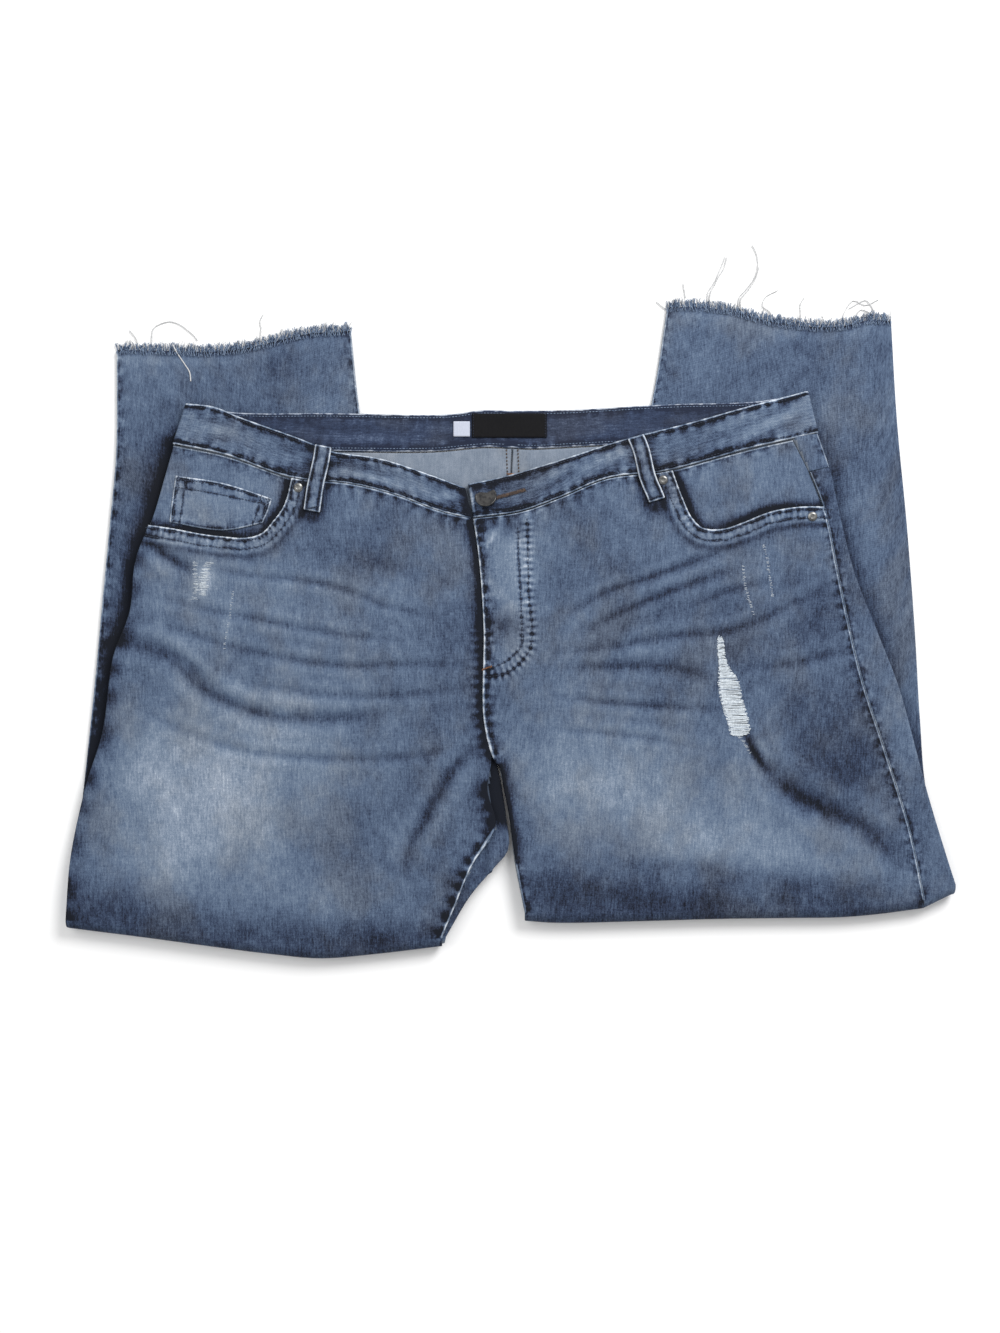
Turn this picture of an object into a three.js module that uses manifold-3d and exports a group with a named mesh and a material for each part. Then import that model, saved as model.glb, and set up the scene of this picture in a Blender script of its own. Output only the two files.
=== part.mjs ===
// Ripped skinny jeans, lying front side up on a table with both legs turned back underneath them.
// Millimetres. +X is the wearer's left, +Y points to the waist and the hems, the table is z = 0.
// Each leg is a flattened tube: its front panel is the outer layer all the way round the fold and
// its back panel is the inner layer, so the front of the calf lies on the table.
import * as THREE from 'three'
import { mergeVertices } from 'three/addons/utils/BufferGeometryUtils.js'
import Module from 'manifold-3d'

const wasm = await Module()
wasm.setup()

// ---------------------------------------------------------------- driving dimensions
const WALL = 1.4 // denim
const SEAM = 0.4 // clearance between two sewn pieces
const BAND_WALL = 2.6 // waistband, two layers of denim
const THIN_WALL = 1.0 // patch pockets, facings, labels
const LOOP_WALL = 1.2
const FOLD_RADIUS = 8.3 // middle of the front panel where the leg turns back
const LAYER_PITCH = 2.4 // from the middle of a front panel to that of its back panel at the fold
const SEAT_PITCH = 3.8 // the same above the fold, where pockets and fly lie between them
const SEAT_CLEARANCE = 2.6 // room for pockets and loops between the seat and the calves
const SEAT_SAG = 2.4 // the seat drops this far between the two calves
const SAG_REACH = 80
const RISE_REACH = 105 // length over which the thigh climbs to the fold
const WAVE = 0.7 // soft unevenness of the upper layers
const SLIT = 0.4 // gap left between the two halves of a back panel in the fold
const FRINGE_REACH = 11
const FRINGE_WALL = 2.4
const THREAD_RADIUS = 0.5
const BUTTON_RADIUS = 9.6
const RIVET_RADIUS = 4

const FOLD_CENTRE = FOLD_RADIUS + WALL / 2
const CALF_FRONT = WALL / 2
const CALF_BACK = CALF_FRONT + LAYER_PITCH
const SEAT_BACK = CALF_BACK + WALL / 2 + SEAT_CLEARANCE + WALL / 2

const DENIM = { color: 0x5f7391, roughness: 0.9 }
const DARK_DENIM = { color: 0x3a475e, roughness: 0.9 }
const PALE_THREAD = { color: 0xc9d2dd, roughness: 0.95 }
const BLACK_LABEL = { color: 0x17181c, roughness: 0.7 }
const WHITE_LABEL = { color: 0xf0f0ee, roughness: 0.8 }
const BRONZE = { color: 0x4d4d4e, roughness: 0.4, metalness: 0.9 }

// ---------------------------------------------------------------- outlines, seen from above
// The wearer's right leg lies at -X and the left leg at +X.
const FLY = [[-32.6, 70.5], [-27.4, 29.6], [-23.9, -25.2], [-23.9, -103.5], [-16.2, -136.4]]
const CENTRE_BACK = [[1.6, 132], [-3, 40], [-9, -60], [-13, -125]]

const right = {
  frontWaist: [[-292.8, 134.9], [-247.5, 125.3], [-191.8, 106.1], [-137.9, 100.1], [-99.6, 90.5],
    [-61.3, 76.6], [-33.2, 70.0]],
  backWaist: [[-292.8, 134.9], [-215, 130], [-140.5, 128.8], [-67.4, 128.8], [-23.1, 132.6], [1.2, 132]],
  side: [[-292.8, 134.9], [-308.4, 80], [-325.8, 34.8], [-331, -10.4], [-345, -48.7], [-354.5, -114.8],
    [-369.3, -162.7], [-381.5, -221.9], [-385.5, -276.8]],
  inseam: [[-20, -165], [-13, -197.5], [-33.5, -230.6], [-49.2, -268], [-59.6, -292.4]],
  backInseam: [[-10.9, -146], [-7.4, -165], [-3.6, -190], [-2, -217], [-14.4, -233], [-35.2, -257.5],
    [-56, -292.4]],
  fold: [[-385.5, -284.5], [-314.5, -293.6], [-260.6, -301], [-205.8, -308], [-164.9, -311.5],
    [-114.4, -307.5], [-59.6, -301]],
  calfSide: [[-343.6, 218.4], [-344.1, 130.5], [-349.3, 70.5], [-356.3, -2.6], [-362.4, -69.6],
    [-372, -160], [-385.5, -275.5]],
  calfInseam: [[-139.5, 235], [-131.8, 164.4], [-95, -62], [-59.6, -292]],
  hem: [[-343.6, 218.4], [-297.1, 217.5], [-261.4, 216.6], [-225.8, 221], [-177, 232.3], [-139.5, 235]],
}

const left = {
  frontWaist: [[-31.8, 71], [9.1, 76.6], [43.1, 88.7], [84.8, 105.3], [134.4, 111.4], [209.2, 131.4],
    [246.2, 139.6]],
  backWaist: [[2, 132], [18.7, 131.2], [59.6, 133.1], [140, 137], [210, 141], [266.7, 144.4]],
  side: [[266.7, 144.4], [278, 111.4], [283.2, 87], [298, 26.1], [318, -26.1], [337.1, -75.7],
    [351, -126.2], [365, -178.4], [380.6, -232], [385.5, -247.3]],
  sideSeam: [[246.2, 139.6], [261.4, 107.9], [273, 77.4], [283, 29.6], [291.9, -13.9], [304.9, -68.7],
    [324.9, -130.5], [345, -195.8], [358, -259.5]],
  inseam: [[-9.1, -146], [-5.4, -165], [-1.2, -187], [4.8, -229.7], [10, -256.6], [12.6, -270.5]],
  fold: [[12.6, -279.3], [41.3, -281], [118.8, -279.3], [177.9, -277.5], [237.9, -276.6],
    [287.5, -275.8], [320, -273], [358, -268], [385.5, -256]],
  calfSide: [[331.9, 243.5], [337.1, 156.6], [345.8, 64.4], [352.8, -28.7], [357.1, -103.5],
    [363.2, -169.7], [385.5, -247]],
  calfInseam: [[137, 255.4], [123.1, 170.5], [65, -62], [12.6, -270]],
  calfSeam: [[328, 243.4], [333, 156.6], [341.5, 64.4], [347.5, -28.7], [350, -103.5], [351, -169.7],
    [358, -259.3]],
  hem: [[137, 255.4], [164.9, 255.8], [196.2, 251.4], [229.2, 242.7], [284.9, 238.4], [314.5, 244.5],
    [331.9, 243.5]],
}

// Upper edges of the waistband, from each side to the fly or to the centre of the back.
const BAND_TOP = {
  frontRight: [[-281.4, 170.5], [-258, 167.9], [-236.2, 159.2], [-180.5, 139.2], [-157, 129.6],
    [-112.7, 122.7], [-67.4, 107.9], [-39.6, 97.4]],
  frontLeft: [[241, 176.8], [209.2, 168.8], [159.6, 154.9], [97.9, 139.2], [43.1, 121.8], [-3.9, 107.9],
    [-36.6, 100.9]],
  backRight: [[-281.4, 170.5], [-241.4, 163.5], [-157, 162.7], [-55.2, 161.8], [-26.5, 165.3], [1.2, 165]],
  backLeft: [[257.9, 181], [216.2, 173], [143.1, 170.5], [43.1, 165.4], [2, 165]],
}

const POCKET_RIGHT = [[-190.1, 107], [-193.6, 91.4], [-197.9, 80], [-207.5, 67], [-216, 58], [-230.1, 53.9],
  [-247.5, 54.8], [-269.3, 57.4], [-291.9, 61.8], [-316, 65.3]]
const POCKET_LEFT = [[140.5, 113], [149.2, 89.6], [157.9, 71.3], [167.5, 62.6], [184.9, 61.8], [201.4, 67],
  [225.8, 76.6], [251, 80.9], [280, 80.9]]
const RIP = [[179, -30], [182.5, -52], [187, -78], [192, -103], [196.5, -119.5], [208, -118], [206, -98],
  [200.5, -78], [194, -60], [187, -45]]

// ---------------------------------------------------------------- curves and patches
const clamp = (t) => Math.min(1, Math.max(0, t))
const smooth = (a, b, t) => {
  const k = clamp((t - a) / (b - a))
  return k * k * (3 - 2 * k)
}
const mix = (a, b, t) => a + (b - a) * t
const mixPoint = (a, b, t) => a.map((value, i) => mix(value, b[i], t))

function curve(points) {
  const places = points.map(([x, y]) => new THREE.Vector3(x, y, 0))
  const path = new THREE.CatmullRomCurve3(places, false, 'centripetal')
  path.arcLengthDivisions = 400
  return (t) => {
    const p = path.getPointAt(clamp(t))
    return [p.x, p.y]
  }
}

// A patch between four edge curves: u runs from left to right, v from top to bottom.
function patch(leftEdge, rightEdge, topEdge, bottomEdge) {
  const corners = [topEdge(0), topEdge(1), bottomEdge(0), bottomEdge(1)]
  return (u, v) => [0, 1].map((i) => {
    const across = mix(leftEdge(v)[i], rightEdge(v)[i], u)
    const down = mix(topEdge(u)[i], bottomEdge(u)[i], v)
    const upper = mix(corners[0][i], corners[1][i], u)
    const lower = mix(corners[2][i], corners[3][i], u)
    return across + down - mix(upper, lower, v)
  })
}

function heightAt(points, x) {
  const next = points.findIndex((p) => p[0] > x)
  if (next === -1) return points[points.length - 1][1]
  if (next === 0) return points[0][1]
  const [a, b] = [points[next - 1], points[next]]
  return mix(a[1], b[1], (x - a[0]) / (b[0] - a[0]))
}

// ---------------------------------------------------------------- heights of the upper layers
const aboveFold = (x, y) => y - FOLD_CENTRE - heightAt(x < -20 ? right.fold : left.fold, x)

function sag(x, y) {
  const rightCalf = mix(-57, -131.8, clamp((y + 301) / 465))
  const leftCalf = mix(12.6, 123.1, clamp((y + 279) / 450))
  const inside = Math.min(x - rightCalf, leftCalf - x)
  return SEAT_SAG * smooth(0, SAG_REACH, inside)
}

function wave(x, y) {
  const long = Math.sin(x / 46 + y / 90)
  const cross = Math.sin(y / 52 - x / 130)
  return WAVE * (1 + 0.5 * long + 0.5 * cross)
}

function backHeight(x, y) {
  const away = aboveFold(x, y)
  const level = SEAT_BACK + (wave(x, y) - sag(x, y)) * smooth(0, 70, away)
  const folded = FOLD_CENTRE + FOLD_RADIUS - LAYER_PITCH
  return mix(folded, level, smooth(0, RISE_REACH, away))
}

function layerPitch(x, y) {
  return mix(LAYER_PITCH, SEAT_PITCH, smooth(0, RISE_REACH, aboveFold(x, y)))
}

const frontHeight = (x, y) => backHeight(x, y) + layerPitch(x, y)

// How near the front and back walls come where they are sewn at a side. The pocket facing lies
// between them near the waist.
const sidePitch = (y) => WALL + mix(SEAM, 2, smooth(0, 40, y))

// ---------------------------------------------------------------- walls
function solid(positions, triangles) {
  const geometry = new THREE.BufferGeometry()
  geometry.setAttribute('position', new THREE.Float32BufferAttribute(positions.flat(), 3))
  geometry.setIndex(triangles.flat())
  return geometry
}

function wallNormals(grid) {
  const at = (i, j) => new THREE.Vector3(...grid[i][j])
  return grid.map((row, i) => row.map((_, j) => {
    const down = at(Math.min(i + 1, grid.length - 1), j).sub(at(Math.max(i - 1, 0), j))
    const across = at(i, Math.min(j + 1, row.length - 1)).sub(at(i, Math.max(j - 1, 0)))
    return down.cross(across).normalize()
  }))
}

// A closed wall on a grid of middle points. Its outer face lies on the side of the grid's normal,
// which is rows crossed with columns, and depths gives each point's half thickness inwards.
function wall(grid, thickness = WALL, depths = () => thickness / 2) {
  const normals = wallNormals(grid)
  const rows = grid.length
  const columns = grid[0].length
  const outer = []
  const inner = []
  grid.forEach((row, i) => row.forEach((p, j) => {
    const point = new THREE.Vector3(...p)
    outer.push(point.clone().addScaledVector(normals[i][j], thickness / 2).toArray())
    inner.push(point.clone().addScaledVector(normals[i][j], -depths(i, j, p)).toArray())
  }))
  const triangles = []
  const index = (i, j) => i * columns + j
  const under = outer.length
  const quad = (a, b, c, d) => triangles.push([a, b, c], [a, c, d])
  for (let i = 0; i < rows - 1; i += 1) {
    for (let j = 0; j < columns - 1; j += 1) {
      const [a, b, c, d] = [index(i, j), index(i + 1, j), index(i + 1, j + 1), index(i, j + 1)]
      quad(a, b, c, d)
      quad(d + under, c + under, b + under, a + under)
    }
  }
  for (let i = 0; i < rows - 1; i += 1) {
    const [a, b] = [index(i, 0), index(i + 1, 0)]
    quad(a, a + under, b + under, b)
    const [c, d] = [index(i, columns - 1), index(i + 1, columns - 1)]
    quad(c, d, d + under, c + under)
  }
  for (let j = 0; j < columns - 1; j += 1) {
    const [a, b] = [index(0, j), index(0, j + 1)]
    quad(a, b, b + under, a + under)
    const [c, d] = [index(rows - 1, j), index(rows - 1, j + 1)]
    quad(c, c + under, d + under, d)
  }
  return solid([...outer, ...inner], triangles)
}

function toManifold(geometry) {
  const bare = geometry.index ? geometry.clone() : mergeVertices(geometry)
  for (const name of ['normal', 'uv']) bare.deleteAttribute(name)
  const merged = mergeVertices(bare, 1e-3)
  return new wasm.Manifold(new wasm.Mesh({
    numProp: 3,
    vertProperties: Float32Array.from(merged.attributes.position.array),
    triVerts: Uint32Array.from(merged.index.array),
  }))
}

// Cuts the outlines through one layer, between two heights.
function cutThrough(geometry, outlines, bottom, top) {
  let body = toManifold(geometry)
  for (const outline of outlines) {
    const shape = new THREE.Shape(outline.map(([x, y]) => new THREE.Vector2(x, y)))
    const cutter = new THREE.ExtrudeGeometry(shape, { depth: top - bottom, bevelEnabled: false })
    cutter.translate(0, 0, bottom)
    body = body.subtract(toManifold(cutter))
  }
  const mesh = body.getMesh()
  const result = new THREE.BufferGeometry()
  result.setAttribute('position', new THREE.BufferAttribute(mesh.vertProperties, 3))
  result.setIndex(new THREE.BufferAttribute(mesh.triVerts, 1))
  return result
}

const part = new THREE.Group()

function add(name, geometry, look) {
  const material = new THREE.MeshStandardMaterial(look)
  const mesh = new THREE.Mesh(geometry, material)
  mesh.name = name
  part.add(mesh)
  return mesh
}

// ---------------------------------------------------------------- leg panels
const UPPER_ROWS = 14
const WRAP_ROWS = 7
const CALF_ROWS = 12
const PANEL_COLUMNS = 9

// One column of a leg panel: its place across the panel from the side to the inseam, and, where it
// is given, its level: 1 on the front layer and 0 on the back layer. On the rolled edge, a column
// also has a shift along X or its share of the strip between the side seam and the edge.
const COLUMN_NUMBERS = Array.from({ length: PANEL_COLUMNS + 1 }, (_, k) => k)
const plainColumns = () => COLUMN_NUMBERS.map((k) => ({ across: k / PANEL_COLUMNS }))

// Above the crotch the inner edges are the fly and the centre back, which aren't sewn to each other.
const CROTCH = -138
function sewnLevel(column, x, y, layer, pitch) {
  if (column.level !== undefined) return column.level
  const edge = column.across === 0 || (column.across === 1 && y < CROTCH)
  const near = edge ? Math.min(sidePitch(y), pitch) : pitch
  return layer === 'front' ? 0.5 + near / pitch / 2 : 0.5 - near / pitch / 2
}

function legGrid(upper, calf, layer, columns, firstRow = () => 0) {
  const grid = []
  const rows = (count, first = 0) => Array.from({ length: count + 1 - first }, (_, i) => (i + first) / count)
  for (const t of rows(UPPER_ROWS)) {
    grid.push(columns.map((column) => {
      const v = mix(firstRow(column.across), 1, t)
      const [x, y] = upper(column.across, v, column)
      const pitch = layerPitch(x, y)
      return [x, y, backHeight(x, y) + pitch * sewnLevel(column, x, y, layer, pitch)]
    }))
  }
  for (const t of rows(WRAP_ROWS, 1)) {
    grid.push(columns.map((column) => {
      const [x, y] = mixPoint(upper(column.across, 1, column), calf(column.across, 0, column), t)
      const level = sewnLevel(column, x, y, layer, LAYER_PITCH)
      const radius = FOLD_RADIUS - LAYER_PITCH * (1 - level)
      const angle = Math.PI * t
      return [x, y - radius * Math.sin(angle), FOLD_CENTRE + radius * Math.cos(angle)]
    }))
  }
  for (const t of rows(CALF_ROWS, 1)) {
    grid.push(columns.map((column) => {
      const [x, y] = calf(column.across, t, column)
      const level = sewnLevel(column, x, y, layer, LAYER_PITCH)
      return [x, y, CALF_BACK - LAYER_PITCH * level]
    }))
  }
  return grid
}

const FLY_GAP = 0.6 // half the gap left between the two fronts at the fly
const BACK_GAP = 0.8 // half the gap left between the two backs at their centre seam
const lift = (points, dy) => points.map(([x, y]) => [x, y + dy])
const moved = (points, dx) => points.map(([x, y]) => [x + dx, y])
const reverse = (points) => [...points].reverse()

const seamLeft = curve(left.sideSeam)
const calfSeamLeft = curve(reverse(left.calfSeam))

const frontRight = patch(curve(right.side), curve([...moved(FLY, -FLY_GAP), ...right.inseam]),
  curve(right.frontWaist), curve(lift(right.fold, FOLD_CENTRE)))
const backRight = patch(curve(right.side), curve([...moved(CENTRE_BACK, -BACK_GAP), ...right.backInseam]),
  curve(right.backWaist), curve(lift(right.fold, FOLD_CENTRE)))
const calfRight = patch(curve(reverse(right.calfSide)), curve(reverse(right.calfInseam)),
  curve(lift(right.fold, FOLD_CENTRE)), curve(right.hem))

const frontLeft = patch(seamLeft, curve([...moved(FLY, FLY_GAP), ...left.inseam]),
  curve(reverse(left.frontWaist)), curve(reverse(lift(left.fold.slice(0, -1), FOLD_CENTRE))))
const backLeft = patch(curve(left.side), curve([...moved(CENTRE_BACK, BACK_GAP), ...left.inseam]),
  curve(reverse(left.backWaist)), curve(reverse(lift(left.fold, FOLD_CENTRE))))
const calfLeft = patch(curve(reverse(left.calfSide)), curve(reverse(left.calfInseam)),
  curve(reverse(lift(left.fold, FOLD_CENTRE))), curve(reverse(left.hem)))
const calfFrontLeft = patch(calfSeamLeft, curve(reverse(left.calfInseam)),
  curve(reverse(lift(left.fold.slice(0, -1), FOLD_CENTRE))),
  curve([left.calfSeam[0], ...reverse(left.hem).slice(1)]))

// On the wearer's left leg the side seam lies on top, and the back panel rolls round the edge to it.
const ROLL = [[-1.3, 1], [-0.4, 0.86], [0, 0.5], [-0.4, 0.14], [-1.3, 0]]

function rolled(base, seam) {
  return (u, v, column) => {
    const [x, y] = base(u, v)
    if (column.strip === undefined) return [x + (column.shift ?? 0), y]
    const [seamX, seamY] = seam(v)
    return mixPoint([seamX + SEAM, seamY], [x + ROLL[0][0] - 0.8, y], column.strip)
  }
}

const rollColumns = [
  { across: 0, strip: 0, level: 1 },
  { across: 0, strip: 0.6, level: 1 },
  ...ROLL.map(([shift, level]) => ({ across: 0, shift, level })),
  ...plainColumns().slice(1),
]

const YOKE_AT_SIDE = 0.075
const YOKE_AT_CENTRE = 0.15
const yokeSeam = (u) => mix(YOKE_AT_SIDE, YOKE_AT_CENTRE, u)
const YOKE_GAP = 0.0012

// The hidden halves of a back panel fill the fold, with a slit between them.
function foldDepth(grid) {
  return (i, j, [x, y, z]) => {
    const wrapped = i > UPPER_ROWS && i < UPPER_ROWS + WRAP_ROWS
    if (wrapped) {
      return Math.max(WALL / 2, Math.hypot(z - FOLD_CENTRE, y - grid[UPPER_ROWS][j][1]) - SLIT)
    }
    const middle = (backHeight(x, y) + CALF_BACK) / 2
    const fill = Math.abs(z - middle) - SLIT
    const share = 1 - smooth(25, 95, aboveFold(x, y))
    return Math.max(WALL / 2, mix(WALL / 2, fill, share))
  }
}

// On the rolled edge the wall keeps its own thickness.
function rolledDepth(grid) {
  const filled = foldDepth(grid)
  const plain = PANEL_COLUMNS - 1
  return (i, j, point) => (j > plain ? WALL / 2 : mix(WALL / 2, filled(i, j, point), j === plain ? 0.5 : 1))
}

const pocketCutRight = [...POCKET_RIGHT, [-340, 65], [-340, 190], [-190.1, 190]]
const pocketCutLeft = [...POCKET_LEFT, [330, 81], [330, 190], [140.5, 190]]
const TOP_LAYER = 6
const ABOVE_ALL = 40

const flip = (grid) => grid.map((row) => [...row].reverse())

// Columns whose edge at one side, 0 or 1, keeps a level of its own.
function columnsWith(edge, level) {
  return plainColumns().map((column) => (column.across === edge ? { ...column, level } : column))
}

const frontColumnsRight = columnsWith(1, 1)
add('front_panel_right', cutThrough(wall(legGrid(frontRight, calfRight, 'front', frontColumnsRight)),
  [pocketCutRight], TOP_LAYER, ABOVE_ALL), DENIM)
const backColumnsRight = columnsWith(1, 0.05)
const backGridRight = legGrid(backRight, calfRight, 'back', backColumnsRight, (u) => yokeSeam(u) + YOKE_GAP)
add('back_panel_right', wall(backGridRight, WALL, foldDepth(backGridRight)), DENIM)

const frontColumnsLeft = columnsWith(0, 1)
add('front_panel_left', cutThrough(wall(flip(legGrid(frontLeft, calfFrontLeft, 'front', frontColumnsLeft))),
  [pocketCutLeft, RIP], TOP_LAYER, ABOVE_ALL), DENIM)
const backGridLeft = flip(legGrid(rolled(backLeft, seamLeft), rolled(calfLeft, calfSeamLeft), 'back',
  rollColumns, (u) => yokeSeam(u) + YOKE_GAP))
add('back_panel_left', wall(backGridLeft, WALL, rolledDepth(backGridLeft)), DENIM)

// ---------------------------------------------------------------- yokes and patch pockets of the back
// A patch of cloth lying on one of the upper layers: height gives its middle.
function layer(place, rows, columns, height) {
  return Array.from({ length: rows + 1 }, (_, i) => Array.from({ length: columns + 1 }, (_, j) => {
    const [x, y] = place(j / columns, i / rows)
    return [x, y, height(x, y)]
  }))
}

const YOKE_TOP = 0.0008
for (const [side, base, turn] of [['right', backRight, (grid) => grid], ['left', backLeft, flip]]) {
  const place = (u, v) => base(u, mix(YOKE_TOP, yokeSeam(u), v))
  const grid = layer(place, 3, PANEL_COLUMNS, backHeight)
  // The first column is sewn to the front at the side.
  for (const row of grid) {
    const [x, y, z] = row[0]
    row[0] = [x, y, z + (SEAT_PITCH - sidePitch(y)) / 2]
  }
  add(`back_yoke_${side}`, wall(turn(grid)), DENIM)
}

const BACK_POCKET_ACROSS = [0.26, 0.78]
const BACK_POCKET_DOWN = [0.21, 0.49]
const BACK_POCKET_POINT = 0.035
const underSeat = (thickness) => (x, y) => backHeight(x, y) - WALL / 2 - SEAM - thickness / 2
for (const [side, base, turn] of [['right', backRight, (grid) => grid], ['left', backLeft, flip]]) {
  const place = (u, v) => {
    const lowest = BACK_POCKET_DOWN[1] + BACK_POCKET_POINT * (1 - Math.abs(2 * u - 1))
    return base(mix(...BACK_POCKET_ACROSS, u), mix(BACK_POCKET_DOWN[0], lowest, v))
  }
  add(`back_pocket_${side}`, wall(turn(layer(place, 5, 6, underSeat(THIN_WALL))), THIN_WALL), DENIM)
}

// ---------------------------------------------------------------- front pockets
const FACING_DROP = 1.8 // a facing's middle lies this far under that of the front panel
const facingHeight = (x, y) => frontHeight(x, y) - FACING_DROP

const facingRight = patch(
  curve([[-293, 134.3], [-300.6, 107], [-308.6, 79.4], [-317, 56]]),
  curve([[-181, 103.4], [-187, 80], [-207, 53]]),
  curve([[-293, 134.3], [-247.5, 124.7], [-192.5, 105.7], [-181, 103.4]]),
  curve([[-317, 56], [-270, 48.5], [-232, 45], [-207, 53]]),
)
const facingLeft = patch(
  curve([[245.4, 138.8], [260.8, 107.6], [272.2, 77.4], [273.6, 71]]),
  curve([[131, 109.8], [141, 84], [152, 60]]),
  curve([[245.4, 138.8], [209.2, 130.7], [150, 114.6], [131, 109.8]]),
  curve([[273.6, 71], [226, 68], [193, 53], [152, 60]]),
)
add('pocket_facing_right', wall(layer(facingRight, 5, 6, facingHeight), THIN_WALL), DENIM)
add('pocket_facing_left', wall(flip(layer(facingLeft, 5, 6, facingHeight)), THIN_WALL), DENIM)

const coinPocket = patch(
  curve([[-291, 108], [-294, 88], [-296.5, 67.6]]),
  curve([[-207.5, 87.9], [-211, 77], [-215.5, 67]]),
  curve([[-291, 108], [-250, 101.5], [-207.5, 87.9]]),
  curve([[-296.5, 67.6], [-250, 60.5], [-215.5, 67]]),
)
const onFacing = (x, y) => facingHeight(x, y) + THIN_WALL + SEAM
add('coin_pocket_right', wall(layer(coinPocket, 4, 5, onFacing), THIN_WALL), DENIM)

// ---------------------------------------------------------------- waistband
// One strip from the fly end round the wearer's right side, the back and the left side.
const BAND_CLEARANCE = 0.9
const BAND_EDGES = 3
const TURN_STEPS = 4
const BAND_PARTS = 9

// Stations along a waist seam, the lower edge just clear of it, from the side inwards.
function bandStretch(seam, top) {
  const [low, high] = [curve(seam), curve(top)]
  const first = 0.03
  return Array.from({ length: BAND_PARTS + 1 }, (_, k) => {
    const t = k === 0 ? first : k / BAND_PARTS
    const [x, y] = low(t)
    return [[x, y + BAND_CLEARANCE], high(t)]
  })
}

const raised = (heights) => (station) => station.map(([x, y]) => [x, y, heights(x, y)])

// The strip turns over at a side, from one layer to the other.
function turned([low, high], from, to, outward) {
  return Array.from({ length: TURN_STEPS + 1 }, (_, k) => {
    const angle = (Math.PI * k) / TURN_STEPS
    return [low, high].map(([x, y]) => {
      const [start, end] = [from(x, y), to(x, y)]
      const radius = Math.abs(start - end) / 2
      return [x + outward * radius * (Math.sin(angle) - 1), y, mix(start, end, (1 - Math.cos(angle)) / 2)]
    })
  })
}

const bandStations = [
  ...reverse(bandStretch(right.frontWaist, BAND_TOP.frontRight)).map(raised(frontHeight)),
  ...turned([[-292.8, 135.4], [-281.4, 170.5]], frontHeight, backHeight, -1),
  ...bandStretch(right.backWaist, BAND_TOP.backRight).map(raised(backHeight)),
  ...reverse(bandStretch(reverse(left.backWaist), BAND_TOP.backLeft)).map(raised(backHeight)).slice(1),
  ...turned([[266.7, 144.9], [257.9, 181]], backHeight, frontHeight, 1),
  ...bandStretch(reverse(left.frontWaist), BAND_TOP.frontLeft).map(raised(frontHeight)),
]
const bandGrid = bandStations.map(([low, high]) => Array.from({ length: BAND_EDGES }, (_, k) =>
  mixPoint(low, high, k / (BAND_EDGES - 1))))
add('waistband', wall(flip(bandGrid), BAND_WALL), DENIM)

// ---------------------------------------------------------------- belt loops
const LOOP_WIDTH = 14
const LOOP_OVER = 2
// Each loop runs from just over the upper edge of the band to below its seam.
function loopGrid([topX, topY], [bottomX, bottomY], height) {
  const along = new THREE.Vector2(bottomX - topX, bottomY - topY).normalize()
  const half = [(-along.y * LOOP_WIDTH) / 2, (along.x * LOOP_WIDTH) / 2]
  return Array.from({ length: 7 }, (_, i) => [-1, 0, 1].map((side) => {
    const [x, y] = mixPoint([topX, topY], [bottomX, bottomY], i / 6)
    return [x + side * half[0], y + side * half[1], height(x, y)]
  }))
}
const onBand = (x, y) => frontHeight(x, y) + BAND_WALL / 2 + SEAM + LOOP_WALL / 2 + 0.2
const underBand = (x, y) => backHeight(x, y) - BAND_WALL / 2 - SEAM - LOOP_WALL / 2 - 0.2
const LOOPS = [
  ['belt_loop_front_right', [-162.6, 133.6], [-173, 77.5], onBand],
  ['belt_loop_front_left', [108.8, 141.6], [126.5, 86.5], onBand],
  ['belt_loop_back_right', [-150, 166.5], [-152, 108], underBand],
  ['belt_loop_back_centre', [2, 167], [0, 108], underBand],
  ['belt_loop_back_left', [150, 172.5], [152, 114], underBand],
]
for (const [name, top, bottom, height] of LOOPS) {
  add(name, wall(loopGrid(top, bottom, height), LOOP_WALL), DENIM)
}

// ---------------------------------------------------------------- labels inside the back of the band
const onBackBand = (x, y) => backHeight(x, y) + BAND_WALL / 2 + SEAM + THIN_WALL / 2
function label([x, y], width, depth) {
  return layer((u, v) => [x + width * (u - 0.5), y + depth * (0.5 - v)], 2, 4, onBackBand)
}
add('waist_label', wall(label([-1, 152], 65, 21), THIN_WALL), BLACK_LABEL)
add('size_tab', wall(label([-42.5, 149], 14, 13), THIN_WALL), WHITE_LABEL)

// ---------------------------------------------------------------- fly, button and rivets
const ZIP = [[-13, 62], [-8, 20], [-6, -30], [-8, -70]]
const ZIP_WIDTH = 24
const zipLine = curve(ZIP)
const zipPlace = (u, v) => {
  const [x, y] = zipLine(v)
  return [x + ZIP_WIDTH * (u - 0.5), y]
}
add('fly_zip', wall(layer(zipPlace, 8, 2, facingHeight), THIN_WALL), DARK_DENIM)

const BUTTON = [-21.3, 89.2]
// Radius and height of each ring of the turned metal pieces.
const BUTTON_PROFILE = [[0, 0], [5, 0], [5, 0.8], [BUTTON_RADIUS - 0.6, 0.8], [BUTTON_RADIUS, 1.4],
  [BUTTON_RADIUS, 2.4], [BUTTON_RADIUS - 0.8, 3.2], [BUTTON_RADIUS - 2, 3.2], [BUTTON_RADIUS - 2.6, 2.6],
  [0, 2.6]]
const RIVET_PROFILE = [[0, 0], [RIVET_RADIUS, 0], [RIVET_RADIUS - 0.2, 0.5], [2.2, 1.2], [1.4, 1], [0, 1]]
function turnedPiece(profile, sides) {
  const lathe = new THREE.LatheGeometry(profile.map(([r, z]) => new THREE.Vector2(r, z)), sides)
  return lathe.rotateX(Math.PI / 2)
}
function place(mesh, [x, y], surface) {
  mesh.position.set(x, y, surface(x, y))
}
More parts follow.
